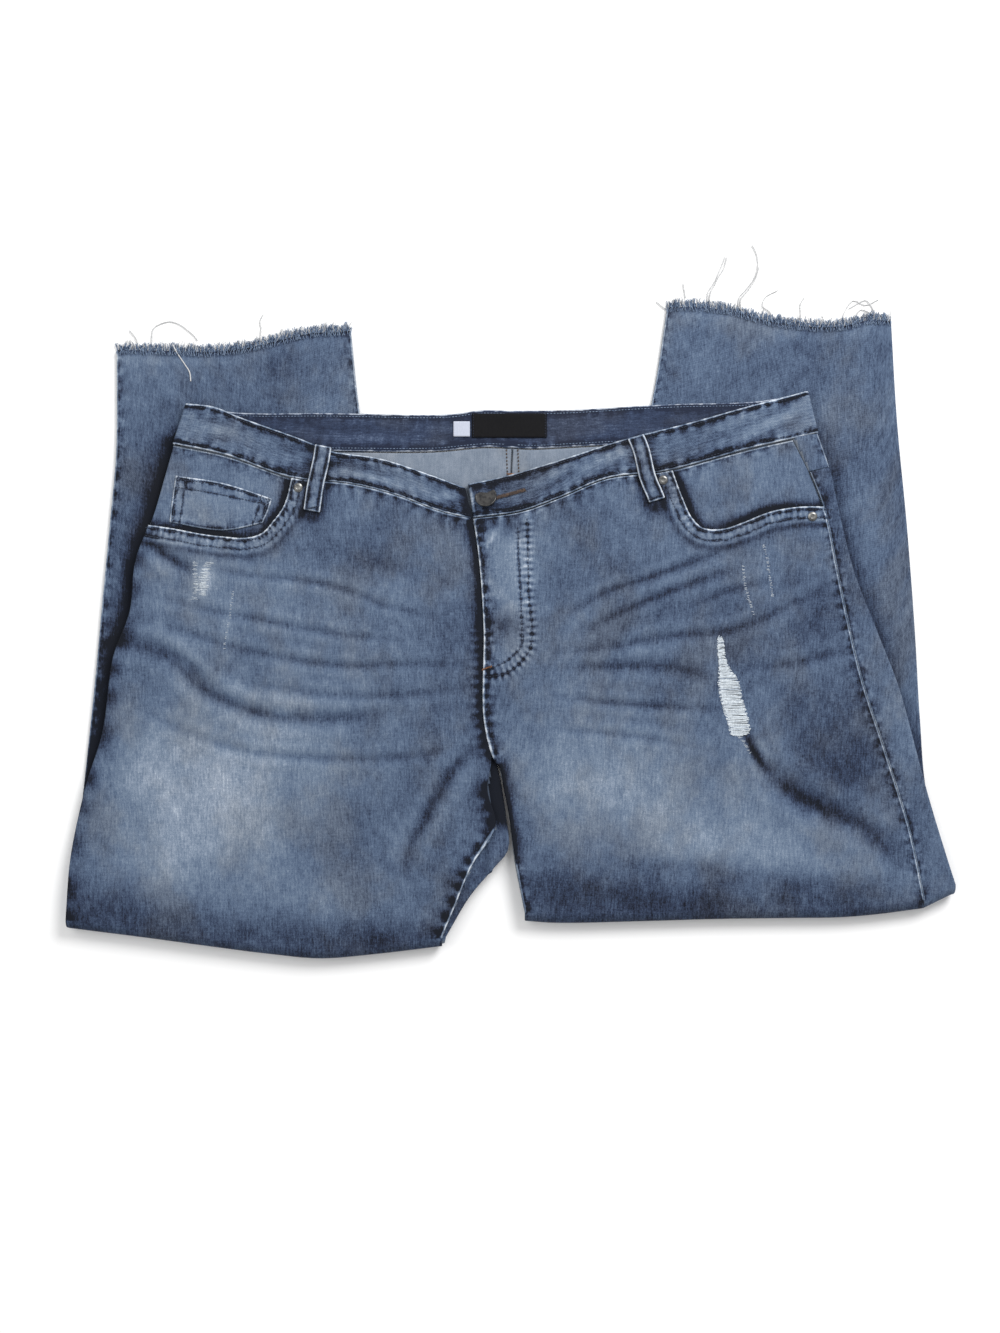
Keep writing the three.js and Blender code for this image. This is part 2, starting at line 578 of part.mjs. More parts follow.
place(add('button', turnedPiece(BUTTON_PROFILE, 28), BRONZE), BUTTON,
  (x, y) => frontHeight(x, y) + BAND_WALL / 2 + SEAM)
const onFront = (x, y) => frontHeight(x, y) + WALL / 2 + SEAM
const RIVETS = [
  ['rivet_pocket_right', [-184.5, 97.6]],
  ['rivet_pocket_left', [132.6, 104.2]],
  ['rivet_side_left', [262.5, 72.5]],
]
for (const [name, spot] of RIVETS) place(add(name, turnedPiece(RIVET_PROFILE, 16), BRONZE), spot, onFront)

// ---------------------------------------------------------------- frayed hems and loose threads
const FRINGE_HEIGHT = (CALF_BACK + WALL / 2) / 2 - 0.35
for (const [side, hem] of [['right', right.hem], ['left', left.hem]]) {
  const edge = curve(hem)
  const place = (u, v) => {
    const [x, y] = edge(mix(0.004, 0.996, u))
    return [x, y + SEAM + 0.2 + FRINGE_REACH * (1 - v)]
  }
  add(`hem_fringe_${side}`, wall(layer(place, 1, 10, () => FRINGE_HEIGHT), FRINGE_WALL), PALE_THREAD)
}

const THREADS = [
  [[199.7, 264.2], [205.8, 271.7], [212.7, 281.1], [216.2, 292.3], [214.8, 303.5], [211.4, 311]],
  [[172.7, 269.4], [176, 274.7], [179.7, 281.4], [183.1, 288.8], [187.5, 300.2]],
]
const THREAD_HEIGHT = 1.4
THREADS.forEach((points, k) => {
  const route = new THREE.CatmullRomCurve3(points.map(([x, y]) => new THREE.Vector3(x, y, THREAD_HEIGHT)))
  const section = new THREE.Shape()
  section.absarc(0, 0, THREAD_RADIUS, 0, 2 * Math.PI)
  const options = { extrudePath: route, steps: 14, curveSegments: 6, bevelEnabled: false }
  add(`loose_thread_${k + 1}`, new THREE.ExtrudeGeometry(section, options), PALE_THREAD)
})

export default part
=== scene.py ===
"""Ripped skinny jeans, lying front side up with both legs turned back underneath.

Lengths are in millimetres until a mesh is made. +X is the wearer's left, +Y points to the waist
and the hems, +Z is up from the surface that the jeans lie on.
"""
import math

import bpy
import numpy as np
from mathutils import Matrix, Vector


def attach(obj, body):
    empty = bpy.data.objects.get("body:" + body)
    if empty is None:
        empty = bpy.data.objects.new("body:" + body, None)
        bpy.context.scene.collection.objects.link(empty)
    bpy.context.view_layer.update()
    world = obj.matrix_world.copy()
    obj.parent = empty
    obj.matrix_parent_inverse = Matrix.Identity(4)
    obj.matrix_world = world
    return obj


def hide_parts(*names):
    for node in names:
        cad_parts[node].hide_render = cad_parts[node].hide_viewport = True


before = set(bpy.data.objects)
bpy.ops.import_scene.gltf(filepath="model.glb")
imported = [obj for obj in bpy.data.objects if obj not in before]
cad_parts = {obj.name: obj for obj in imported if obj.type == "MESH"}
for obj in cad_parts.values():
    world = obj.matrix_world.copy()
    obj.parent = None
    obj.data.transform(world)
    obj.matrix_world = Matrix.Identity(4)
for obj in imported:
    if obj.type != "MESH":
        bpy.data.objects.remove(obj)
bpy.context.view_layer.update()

MM = 0.001
CELL = 2.2  # spacing of the cloth's points where it shows
BACK_SPACING, HIDDEN_SPACING = 1.3 * CELL, 4 * CELL
WRAP_ROWS = 18  # rows round the fold
BACK_WRAP_ROWS = 16
BAND_COLUMNS = 18

# ------------------------------------------------------------------ the garment's sizes
WALL = 1.4  # leg panels and yokes
SEAM = 0.4  # clearance between two cloths that are sewn together
BAND_WALL = 2.6  # the doubled waistband
BAND_CLEARANCE = 0.9
THIN_WALL = 1.0  # pockets, facings and labels
LOOP_WALL = 1.2
FOLD_RADIUS = 8.3
LAYER_PITCH = 2.4  # from middle to middle of two layers, near the fold and in the calves
SEAT_PITCH = 3.8  # the same where the front lies loose on the seat
SEAT_CLEARANCE = 2.6
SEAT_SAG = 2.4
SAG_REACH = 80  # from the calves' inner edges to where the seat has sunk
RISE_REACH = 105  # from the fold to where the layers lie loose
WAVE = 0.7
SLIT = 0.4  # between two hidden layers that fill the fold
FACING_DROP = 1.8  # how far the pocket facings lie below the front
CROTCH = -138
LEG_STRETCH = 430  # rough lengths and widths that the number of rows and columns comes from
CALF_STRETCH = 500
PANEL_WIDTH = 300
PANEL_CROWD = 0.45
FOLD_CENTRE = FOLD_RADIUS + WALL / 2
CALF_FRONT = WALL / 2
CALF_BACK = CALF_FRONT + LAYER_PITCH
SEAT_BACK = CALF_BACK + WALL / 2 + SEAT_CLEARANCE + WALL / 2
TABLE_GAP = 1.1  # how high a loose thread lies on the table

FLY = [(-32.6, 70.5), (-27.4, 29.6), (-23.9, -25.2), (-23.9, -103.5), (-16.2, -136.4)]
CENTRE_BACK = [(1.6, 132), (-3, 40), (-9, -60), (-13, -125)]

RIGHT = dict(
    front_waist=[(-292.8, 134.9), (-247.5, 125.3), (-191.8, 106.1), (-137.9, 100.1), (-99.6, 90.5),
                 (-61.3, 76.6), (-33.2, 70.0)],
    back_waist=[(-292.8, 134.9), (-215, 130), (-140.5, 128.8), (-67.4, 128.8), (-23.1, 132.6), (1.2, 132)],
    side=[(-292.8, 134.9), (-308.4, 80), (-325.8, 34.8), (-331, -10.4), (-345, -48.7), (-354.5, -114.8),
          (-369.3, -162.7), (-381.5, -221.9), (-385.5, -276.8)],
    inseam=[(-20, -165), (-13, -197.5), (-33.5, -230.6), (-49.2, -268), (-59.6, -292.4)],
    back_inseam=[(-10.9, -146), (-7.4, -165), (-3.6, -190), (-2, -217), (-14.4, -233), (-35.2, -257.5),
                 (-56, -292.4)],
    fold=[(-385.5, -284.5), (-314.5, -293.6), (-260.6, -301), (-205.8, -308), (-164.9, -311.5),
          (-114.4, -307.5), (-59.6, -301)],
    calf_side=[(-343.6, 218.4), (-344.1, 130.5), (-349.3, 70.5), (-356.3, -2.6), (-362.4, -69.6),
               (-372, -160), (-385.5, -275.5)],
    calf_inseam=[(-139.5, 235), (-131.8, 164.4), (-95, -62), (-59.6, -292)],
    hem=[(-343.6, 218.4), (-297.1, 217.5), (-261.4, 216.6), (-225.8, 221), (-177, 232.3), (-139.5, 235)],
)

LEFT = dict(
    front_waist=[(-31.8, 71), (9.1, 76.6), (43.1, 88.7), (84.8, 105.3), (134.4, 111.4), (209.2, 131.4),
                 (246.2, 139.6)],
    back_waist=[(2, 132), (18.7, 131.2), (59.6, 133.1), (140, 137), (210, 141), (266.7, 144.4)],
    side=[(266.7, 144.4), (278, 111.4), (283.2, 87), (298, 26.1), (318, -26.1), (337.1, -75.7),
          (351, -126.2), (365, -178.4), (380.6, -232), (385.5, -247.3)],
    side_seam=[(246.2, 139.6), (261.4, 107.9), (273, 77.4), (283, 29.6), (291.9, -13.9), (304.9, -68.7),
               (324.9, -130.5), (345, -195.8), (358, -259.5)],
    inseam=[(-9.1, -146), (-5.4, -165), (-1.2, -187), (4.8, -229.7), (10, -256.6), (12.6, -270.5)],
    fold=[(12.6, -279.3), (41.3, -281), (118.8, -279.3), (177.9, -277.5), (237.9, -276.6),
          (287.5, -275.8), (320, -273), (358, -268), (385.5, -256)],
    calf_side=[(331.9, 243.5), (337.1, 156.6), (345.8, 64.4), (352.8, -28.7), (357.1, -103.5),
               (363.2, -169.7), (385.5, -247)],
    calf_inseam=[(137, 255.4), (123.1, 170.5), (65, -62), (12.6, -270)],
    calf_seam=[(328, 243.4), (333, 156.6), (341.5, 64.4), (347.5, -28.7), (350, -103.5), (351, -169.7),
               (358, -259.3)],
    hem=[(137, 255.4), (164.9, 255.8), (196.2, 251.4), (229.2, 242.7), (284.9, 238.4), (314.5, 244.5),
         (331.9, 243.5)],
)

BAND_TOP = dict(
    front_right=[(-281.4, 170.5), (-258, 167.9), (-236.2, 159.2), (-180.5, 139.2), (-157, 129.6),
                 (-112.7, 122.7), (-67.4, 107.9), (-39.6, 97.4)],
    front_left=[(241, 176.8), (209.2, 168.8), (159.6, 154.9), (97.9, 139.2), (43.1, 121.8), (-3.9, 107.9),
                (-36.6, 100.9)],
    back_right=[(-281.4, 170.5), (-241.4, 163.5), (-157, 162.7), (-55.2, 161.8), (-26.5, 165.3), (1.2, 165)],
    back_left=[(257.9, 181), (216.2, 173), (143.1, 170.5), (43.1, 165.4), (2, 165)],
)

POCKET_RIGHT = [(-190.1, 107), (-193.6, 91.4), (-197.9, 80), (-207.5, 67), (-216, 58), (-230.1, 53.9),
                (-247.5, 54.8), (-269.3, 57.4), (-291.9, 61.8), (-316, 65.3)]
POCKET_LEFT = [(140.5, 113), (149.2, 89.6), (157.9, 71.3), (167.5, 62.6), (184.9, 61.8), (201.4, 67),
               (225.8, 76.6), (251, 80.9), (280, 80.9)]
RIP = [(180.9, -31.5), (181, -45), (182.2, -54), (183, -66), (182.4, -73), (183.6, -81), (186.4, -93),
       (190.6, -106), (194, -117.5), (205.5, -115.8), (205.9, -109), (202.4, -96), (199.2, -85), (197.8, -76),
       (194.6, -67.5), (189, -59.5), (185.9, -50), (183.4, -33)]


# ------------------------------------------------------------------ curves, patches and distances
def smooth(a, b, t):
    """0 before a and 1 after b, with a soft step between."""
    k = np.clip((t - a) / (b - a), 0, 1)
    return k * k * (3 - 2 * k)


def bell(t, width):
    """1 at 0, fading away on both sides."""
    return np.exp(-((t / width) ** 2))


def mix(a, b, t):
    return a + (b - a) * t


def spline(points, each=24):
    """A smooth line through the points, as a function from shares of its length to places."""
    p = np.array(points, float)
    gaps = np.sqrt(np.linalg.norm(np.diff(p, axis=0), axis=1))
    slope = np.diff(p, axis=0) / gaps[:, None]
    tangent = np.vstack([slope[:1], slope[-1:]]) if len(p) == 2 else np.vstack([
        slope[:1],
        (slope[:-1] * gaps[1:, None] + slope[1:] * gaps[:-1, None]) / (gaps[:-1] + gaps[1:])[:, None],
        slope[-1:],
    ])
    k = np.linspace(0, 1, each, endpoint=False)[:, None]
    pieces = []
    for i, gap in enumerate(gaps):
        a, b = p[i], p[i + 1]
        m, n = tangent[i] * gap, tangent[i + 1] * gap
        pieces.append(a * (2 * k**3 - 3 * k**2 + 1) + m * (k**3 - 2 * k**2 + k)
                      + b * (3 * k**2 - 2 * k**3) + n * (k**3 - k**2))
    line = np.vstack([*pieces, p[-1:]])
    along = np.concatenate([[0], np.cumsum(np.linalg.norm(np.diff(line, axis=0), axis=1))])

    def at(t):
        s = np.clip(t, 0, 1) * along[-1]
        return np.stack([np.interp(s, along, line[:, k]) for k in range(line.shape[1])], -1)

    at.length = along[-1]
    at.line = line
    return at


def coarse(points):
    """The line through some points, in steps that are short enough to measure from."""
    return spline(points, 6).line


def reverse(points):
    return list(points)[::-1]


def lift(points, dy):
    return [(x, y + dy) for x, y in points]


def moved(points, dx):
    return [(x + dx, y) for x, y in points]


def patch(left, right, top, bottom):
    """A surface between four lines of points: u runs from left to right, v from top to bottom."""
    left, right, top, bottom = map(spline, (left, right, top, bottom))
    corners = [top(0.0), top(1.0), bottom(0.0), bottom(1.0)]

    def at(u, v):
        u, v = np.broadcast_arrays(np.asarray(u, float), np.asarray(v, float))
        a, b = u[..., None], v[..., None]
        ends = mix(mix(corners[0], corners[1], a), mix(corners[2], corners[3], a), b)
        return mix(left(v), right(v), a) + mix(top(u), bottom(u), b) - ends

    return at


def nearest(x, y, line):
    """Distance from each place to an open line, and how far along the line that is, both in mm."""
    line = np.asarray(line, float)
    best = np.full(np.shape(x), 1e9)
    along = np.zeros(np.shape(x))
    start = 0.0
    for a, b in zip(line[:-1], line[1:]):
        d = b - a
        length = np.hypot(*d)
        if length < 1e-9:
            continue
        t = np.clip(((x - a[0]) * d[0] + (y - a[1]) * d[1]) / length**2, 0, 1)
        away = np.hypot(x - a[0] - t * d[0], y - a[1] - t * d[1])
        closer = away < best
        best = np.where(closer, away, best)
        along = np.where(closer, start + t * length, along)
        start += length
    return best, along


def distance(x, y, line):
    """Distance from each place to an open line, in mm."""
    return nearest(x, y, line)[0]


def edge_x(points, y):
    """Where a line that runs up or down is, at each height."""
    rising = sorted((b, a) for a, b in points)
    return np.interp(y, *zip(*rising))


def inside(x, y, outline):
    """Whether each place is inside a closed outline."""
    result = np.zeros(np.shape(x), bool)
    points = list(outline)
    for (ax, ay), (bx, by) in zip(points, points[1:] + points[:1]):
        crosses = (ay > y) != (by > y)
        slope = (bx - ax) / (by - ay) if by != ay else 0.0
        result ^= crosses & (x < ax + (y - ay) * slope)
    return result


# ------------------------------------------------------------------ heights of the upper layers
def above_fold(x, y):
    """How far each place lies above the line where its leg starts to turn under."""
    right = np.interp(x, *zip(*RIGHT["fold"]))
    left = np.interp(x, *zip(*LEFT["fold"]))
    return y - FOLD_CENTRE - np.where(x < -20, right, left)


def sag(x, y):
    """How far the seat sinks between the two calves that it lies on."""
    # The calves' inner edges, as straight lines from the fold upwards.
    right_calf = mix(-57, -131.8, np.clip((y + 301) / 465, 0, 1))
    left_calf = mix(12.6, 123.1, np.clip((y + 279) / 450, 0, 1))
    return SEAT_SAG * smooth(0, SAG_REACH, np.minimum(x - right_calf, left_calf - x))


def wave(x, y):
    """Broad, shallow waves of cloth that has been lying for a while."""
    return WAVE * (1 + 0.5 * np.sin(x / 46 + y / 90) + 0.5 * np.sin(y / 52 - x / 130))


def back_height(x, y):
    """Height of the middle of the seat's cloth."""
    away = above_fold(x, y)
    level = SEAT_BACK + (wave(x, y) - sag(x, y)) * smooth(0, 70, away)
    return mix(FOLD_CENTRE + FOLD_RADIUS - LAYER_PITCH, level, smooth(0, RISE_REACH, away))


def layer_pitch(x, y):
    return mix(LAYER_PITCH, SEAT_PITCH, smooth(0, RISE_REACH, above_fold(x, y)))


def front_height(x, y):
    """Height of the middle of the front's cloth, without creases."""
    return back_height(x, y) + layer_pitch(x, y)


def side_pitch(y):
    """How far apart front and back are where they are sewn together at the sides."""
    return WALL + mix(SEAM, 2, smooth(0, 40, y))


# ------------------------------------------------------------------ creases, fading and painted shade, placed one by one
# Each crease is a line with its half width, its height (troughs are negative) and how much lighter
# or darker its trough is painted, partly as unfaded dye and partly as painted shade.
SHOULDER, SHOULDER_AWAY = 0.55, 2.1  # the swelling beside a trough: share of its depth, and half widths away
CREASES = [
    # deep folds from the wearer's right hip
    ([(-357, -35), (-314, -42), (-289, -57), (-266, -78), (-242, -90), (-216, -99), (-174, -103),
      (-114, -101)], 6.5, -1.7, -0.26),
    ([(-314, -35), (-283, -52), (-260, -73)], 5, -1.0, -0.14),
    ([(-315, 49), (-297, 37), (-279, 26)], 5.5, -1.6, -0.3),
    # whiskers of the right thigh
    ([(-270, 30), (-230, 22), (-187, 18), (-147, 10), (-107, -5), (-70, -14)], 3.4, -0.55, -0.13),
    ([(-307, 3), (-254, -10), (-203, -20), (-147, -30), (-96, -35)], 3.6, -0.6, -0.13),
    ([(-297, -22), (-250, -38), (-203, -49), (-147, -57), (-80, -55), (-42, -57)], 3.8, -0.7, -0.14),
    ([(-244, -70), (-192, -78), (-140, -84), (-35, -77)], 4.2, -0.6, -0.11),
    ([(-324, -94), (-279, -116), (-235, -130), (-192, -136), (-96, -137), (-35, -126)], 4, -0.8, -0.12),
    ([(-23, -124), (-46, -143), (-60, -165), (-74, -191), (-87, -214), (-93, -237)], 6, -1.6, -0.22),
    ([(-183, 48), (-131, 35), (-79, 22), (-35, 9)], 9, -0.4, -0.06),
    # whiskers of the left thigh
    ([(54, -10), (87, 9), (113, 17), (147, 29), (191, 44)], 3.6, -0.6, -0.17),
    ([(60, -28), (95, -11), (130, 4), (165, 17), (200, 30)], 3.6, -0.6, -0.16),
    ([(156, -6), (191, 8), (230, 18)], 3.4, -0.4, -0.11),
    ([(39, -45), (95, -40), (139, -31), (182, -28), (213, -19), (243, -5), (274, 10)], 4.4, -0.7, -0.14),
    ([(47, -59), (95, -57), (139, -59), (175, -66)], 6, -0.8, -0.16),
    ([(39, -84), (95, -90), (156, -94), (184, -95)], 3.6, -0.6, -0.13),
    ([(34, -112), (87, -116), (130, -122), (174, -130)], 3.4, -0.5, -0.1),
    ([(204, -59), (243, -55), (300, -42)], 4.4, -0.5, -0.1),
    ([(202, -110), (206, -119), (211, -130), (216, -139), (221, -147)], 3.8, -0.8, -0.30),
    ([(203, -118), (221, -144), (243, -165), (278, -184), (313, -202), (335, -228)], 9, -2.0, -0.22),
    ([(95, -228), (165, -233), (243, -244), (339, -251)], 9, -0.5, -0.1),
]
# Broad light or dark areas: centre, half length along X and Y, turn in degrees, change of tone.
FADES_AND_SHADES = [
    ((140, -10), (150, 95), 0, -0.07),
    ((-110, 60), (80, 45), 0, -0.10),
    ((268, -140), (42, 46), 40, -0.06),
    ((-266, 18), (8, 15), 0, 0.2),
    ((-245, -18), (4, 26), -8, 0.08),
    ((-236, -150), (80, 58), 10, 0.2),
    ((-275, -222), (70, 48), 35, 0.17),
    ((-314, -148), (44, 52), 0, 0.13),
    ((-174, -261), (35, 24), 0, 0.1),
    ((-227, 0), (87, 39), -8, 0.07),
    ((-79, 35), (44, 52), 0, 0.03),
    ((-122, 70), (78, 19), -12, 0.07),
    ((-96, -174), (61, 52), 0, -0.05),
    ((-53, -87), (26, 70), 0, -0.04),
    ((113, -161), (78, 44), -10, 0.16),
    ((43, -139), (44, 78), 0, 0.08),
    ((255, -214), (60, 20), -24, 0.09),
    ((182, -209), (61, 26), -15, 0.12),
    ((121, 52), (52, 24), 15, 0.05),
    ((234, 35), (52, 26), 10, 0.03),
    ((295, -157), (39, 61), 30, -0.12),
    # painted shade low along the folds, where the cloth turns under
    ((78, -252), (96, 21), -2, -0.16),
    ((234, -257), (104, 16), -2, -0.1),
    ((-331, -265), (61, 23), -5, -0.16),
    ((-157, -291), (130, 17), -5, -0.1),
    ((-27, -261), (44, 52), 0, -0.06),
    ((-357, -87), (14, 52), -5, -0.12),
    ((269, -35), (35, 70), 0, -0.05),
    ((8, 35), (23, 61), 0, 0.18),
    ((-5, -22), (23, 12), 0, -0.22),
    ((-9, 70), (26, 12), 0, -0.16),
    ((-14, 57), (16, 4), 52, 0.22),
    ((-24, 64), (5, 8), 0, -0.16),
    ((4, 63), (16, 8), 0, -0.16),
]


def crease_at(x, y):
    """Height and change of tone at each place, from the creases."""
    height = np.zeros(np.shape(x))
    tone = np.zeros(np.shape(x))
    for points, width, rise, shade in CREASES:
        line = spline(points, 8)
        away, along = nearest(x, y, line.line)
        taper = np.sqrt(np.clip(np.sin(np.pi * np.clip(along / line.length, 0.02, 0.98)), 0, 1))
        near = bell(away, width) * taper
        worn = bell(away, 0.75 * width) * taper
        shoulder = bell(away - SHOULDER_AWAY * width, width) * taper
        height += rise * (near - SHOULDER * shoulder)
        # painted shade and unfaded dye darken the trough; its shoulders come out a little lighter
        tone += 0.8 * shade * (worn - 0.45 * shoulder)
    return height, tone


def fade_and_shade_at(x, y):
    """Change of tone at each place, from the broad fades and the painted shade along the folds."""
    tone = np.zeros(np.shape(x))
    for (cx, cy), (rx, ry), turn, change in FADES_AND_SHADES:
        c, s = math.cos(math.radians(turn)), math.sin(math.radians(turn))
        a = ((x - cx) * c + (y - cy) * s) / rx
        b = ((y - cy) * c - (x - cx) * s) / ry
        tone += change * np.exp(-(a * a + b * b))
    return tone


def pucker(away, along, reach=7.0, rise=0.4, pitch=8.5):
    """Small waves across a seam that has shrunk."""
    uneven = np.sin(along / 23.0) * 1.7 + np.sin(along / 61.0) * 2.3
    return rise * bell(away, reach) * np.sin(2 * np.pi * along / pitch + uneven)


# ------------------------------------------------------------------ meshes
def make_object(name, verts, faces, uv=None, values=None, materials=(), slots=None):
    """verts in mm, uv in metres per vertex, values: name to one number per vertex."""
    mesh = bpy.data.meshes.new(name)
    mesh.from_pydata((np.asarray(verts) * MM).tolist(), [], np.asarray(faces).tolist())
    if uv is not None:
        layer = mesh.uv_layers.new(name="cloth")
        corner = np.zeros(len(mesh.loops), np.int32)
        mesh.loops.foreach_get("vertex_index", corner)
        layer.data.foreach_set("uv", np.asarray(uv, np.float32)[corner].ravel())
    for key, numbers in (values or {}).items():
        attribute = mesh.attributes.new(key, "FLOAT", "POINT")
        attribute.data.foreach_set("value", np.asarray(numbers, np.float32))
    for material in materials:
        mesh.materials.append(material)
    if slots is not None:
        mesh.polygons.foreach_set("material_index", np.asarray(slots, np.int32))
    mesh.shade_smooth()
    mesh.update()
    piece = bpy.data.objects.new(name, mesh)
    bpy.context.collection.objects.link(piece)
    return piece


def grid_normals(points):
    """Which way the cloth faces at each point of a grid."""
    down = np.gradient(points, axis=0)
    across = np.gradient(points, axis=1)
    normal = np.cross(down, across)
    return normal / np.maximum(np.linalg.norm(normal, axis=2, keepdims=True), 1e-9)


def mirrored(grid):
    return grid[:, ::-1] if np.ndim(grid) else grid


def shell(name, points, materials, thickness=WALL, depth=None, keep=None, uv=None, values=None,
          flip=False, turned=None):
    """A closed wall on a grid of middle points; its outer face looks along rows crossed with columns.

    Depth is how far the inner face lies from the middle, where that isn't half the thickness. Only the
    cells marked keep are made. The cells marked turned have the second material outside too.
    """
    if flip:
        points, thickness, depth = map(mirrored, (points, thickness, depth))
        keep, uv, turned = map(mirrored, (keep, uv, turned))
        values = {key: mirrored(grid) for key, grid in (values or {}).items()}
    rows, columns = points.shape[:2]
    half = np.broadcast_to(np.asarray(thickness, float) / 2, (rows, columns))
    depth = half if depth is None else depth
    normal = grid_normals(points)
    outer = points + normal * half[..., None]
    inner = points - normal * depth[..., None]
    keep = np.ones((rows - 1, columns - 1), bool) if keep is None else keep
    index = np.arange(rows * columns).reshape(rows, columns)
    under = index + rows * columns
    a, b, c, d = index[:-1, :-1], index[1:, :-1], index[1:, 1:], index[:-1, 1:]
    e, f, g, h = under[:-1, :-1], under[1:, :-1], under[1:, 1:], under[:-1, 1:]
    outside = np.stack([a, b, c, d], -1)[keep]
    within = np.stack([h, g, f, e], -1)[keep]
    wide = np.pad(keep, 1)
    left, right = wide[1:-1, :-1], wide[1:-1, 1:]
    upper, lower = wide[:-1, 1:-1], wide[1:, 1:-1]
    p, q, p2, q2 = index[:-1], index[1:], under[:-1], under[1:]
    r, s, r2, s2 = index[:, :-1], index[:, 1:], under[:, :-1], under[:, 1:]
    rims = [
        np.stack([p, p2, q2, q], -1)[right & ~left],
        np.stack([p, q, q2, p2], -1)[left & ~right],
        np.stack([r, s, s2, r2], -1)[lower & ~upper],
        np.stack([r, r2, s2, s], -1)[upper & ~lower],
    ]
    faces = np.vstack([outside, within, *rims])
    slots = np.zeros(len(faces), int)
    if len(materials) > 1:
        slots[len(outside):len(outside) + len(within)] = 1
    if turned is not None:
        slots[:len(outside)] = turned[keep]
    verts = np.concatenate([outer.reshape(-1, 3), inner.reshape(-1, 3)])
    used, faces = np.unique(faces, return_inverse=True)
    faces = faces.reshape(-1, 4)

    def twice(grid):
        return np.concatenate([grid.reshape(rows * columns, -1)] * 2)[used]

    return make_object(
        name, verts[used], faces,
        uv=None if uv is None else twice(uv),
        values={k: twice(v)[:, 0] for k, v in (values or {}).items()},
        materials=materials, slots=slots,
    )


def settle(piece, slot, *nodes):
    """Puts a finished piece on its body and hides the CAD nodes that it stands for; the slot is not used."""
    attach(piece, "root")
    if nodes:
        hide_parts(*nodes)


# ------------------------------------------------------------------ shader groups
def node_group(name, inputs, outputs):
    """A new shader group with its named sockets, and its two end nodes."""
    group = bpy.data.node_groups.new(name, "ShaderNodeTree")
    for label, kind, value in inputs:
        socket = group.interface.new_socket(label, in_out="INPUT", socket_type=kind)
        if value is not None:
            socket.default_value = value
    for label, kind in outputs:
        group.interface.new_socket(label, in_out="OUTPUT", socket_type=kind)
    return group, group.nodes.new("NodeGroupInput"), group.nodes.new("NodeGroupOutput")


class Tree:
    """Short calls for the nodes of one tree."""

    def __init__(self, tree):
        self.nodes, self.links = tree.nodes, tree.links

    def put(self, socket, value):
        if isinstance(value, bpy.types.NodeSocket):
            self.links.new(value, socket)
        elif value is not None:
            socket.default_value = value

    def math(self, operation, a, b=None, c=None, clamp=False):
        node = self.nodes.new("ShaderNodeMath")
        node.operation, node.use_clamp = operation, clamp
        for socket, value in zip(node.inputs, (a, b, c)):
            self.put(socket, value)
        return node.outputs[0]

    def scaled(self, vector, scale):
        node = self.nodes.new("ShaderNodeVectorMath")
        node.operation = "MULTIPLY"
        self.put(node.inputs[0], vector)
        node.inputs[1].default_value = scale
        return node.outputs[0]

    def noise(self, vector, detail=2.0, roughness=0.55, scale=1.0):
        node = self.nodes.new("ShaderNodeTexNoise")
        self.put(node.inputs["Vector"], vector)
        node.inputs["Scale"].default_value = scale
        node.inputs["Detail"].default_value = detail
        node.inputs["Roughness"].default_value = roughness
        return node.outputs["Fac"]

    def varied(self, value, weight, total=0.0):
        """Adds a pattern that varies about a half."""
        return self.math("MULTIPLY_ADD", self.math("SUBTRACT", value, 0.5), weight, total)

    def span(self, value, low, high, to_low=0.0, to_high=1.0):
        node = self.nodes.new("ShaderNodeMapRange")
        node.interpolation_type = "SMOOTHSTEP"
        self.put(node.inputs["Value"], value)
        for label, number in (("From Min", low), ("From Max", high), ("To Min", to_low), ("To Max", to_high)):
            node.inputs[label].default_value = number
        return node.outputs["Result"]

    def place(self):
        """Where each point of the piece is, in metres."""
        return self.nodes.new("ShaderNodeTexCoord").outputs["Object"]

    def group(self, tree):
        node = self.nodes.new("ShaderNodeGroup")
        node.node_tree = tree
        return node

    def ramp(self, value, stops):
        node = self.nodes.new("ShaderNodeValToRGB")
        elements = node.color_ramp.elements
        while len(elements) < len(stops):
            elements.new(0.5)
        for element, (position, colour) in zip(elements, stops):
            element.position = position
            element.color = (*colour, 1.0)
        self.put(node.inputs["Fac"], value)
        return node.outputs["Color"]


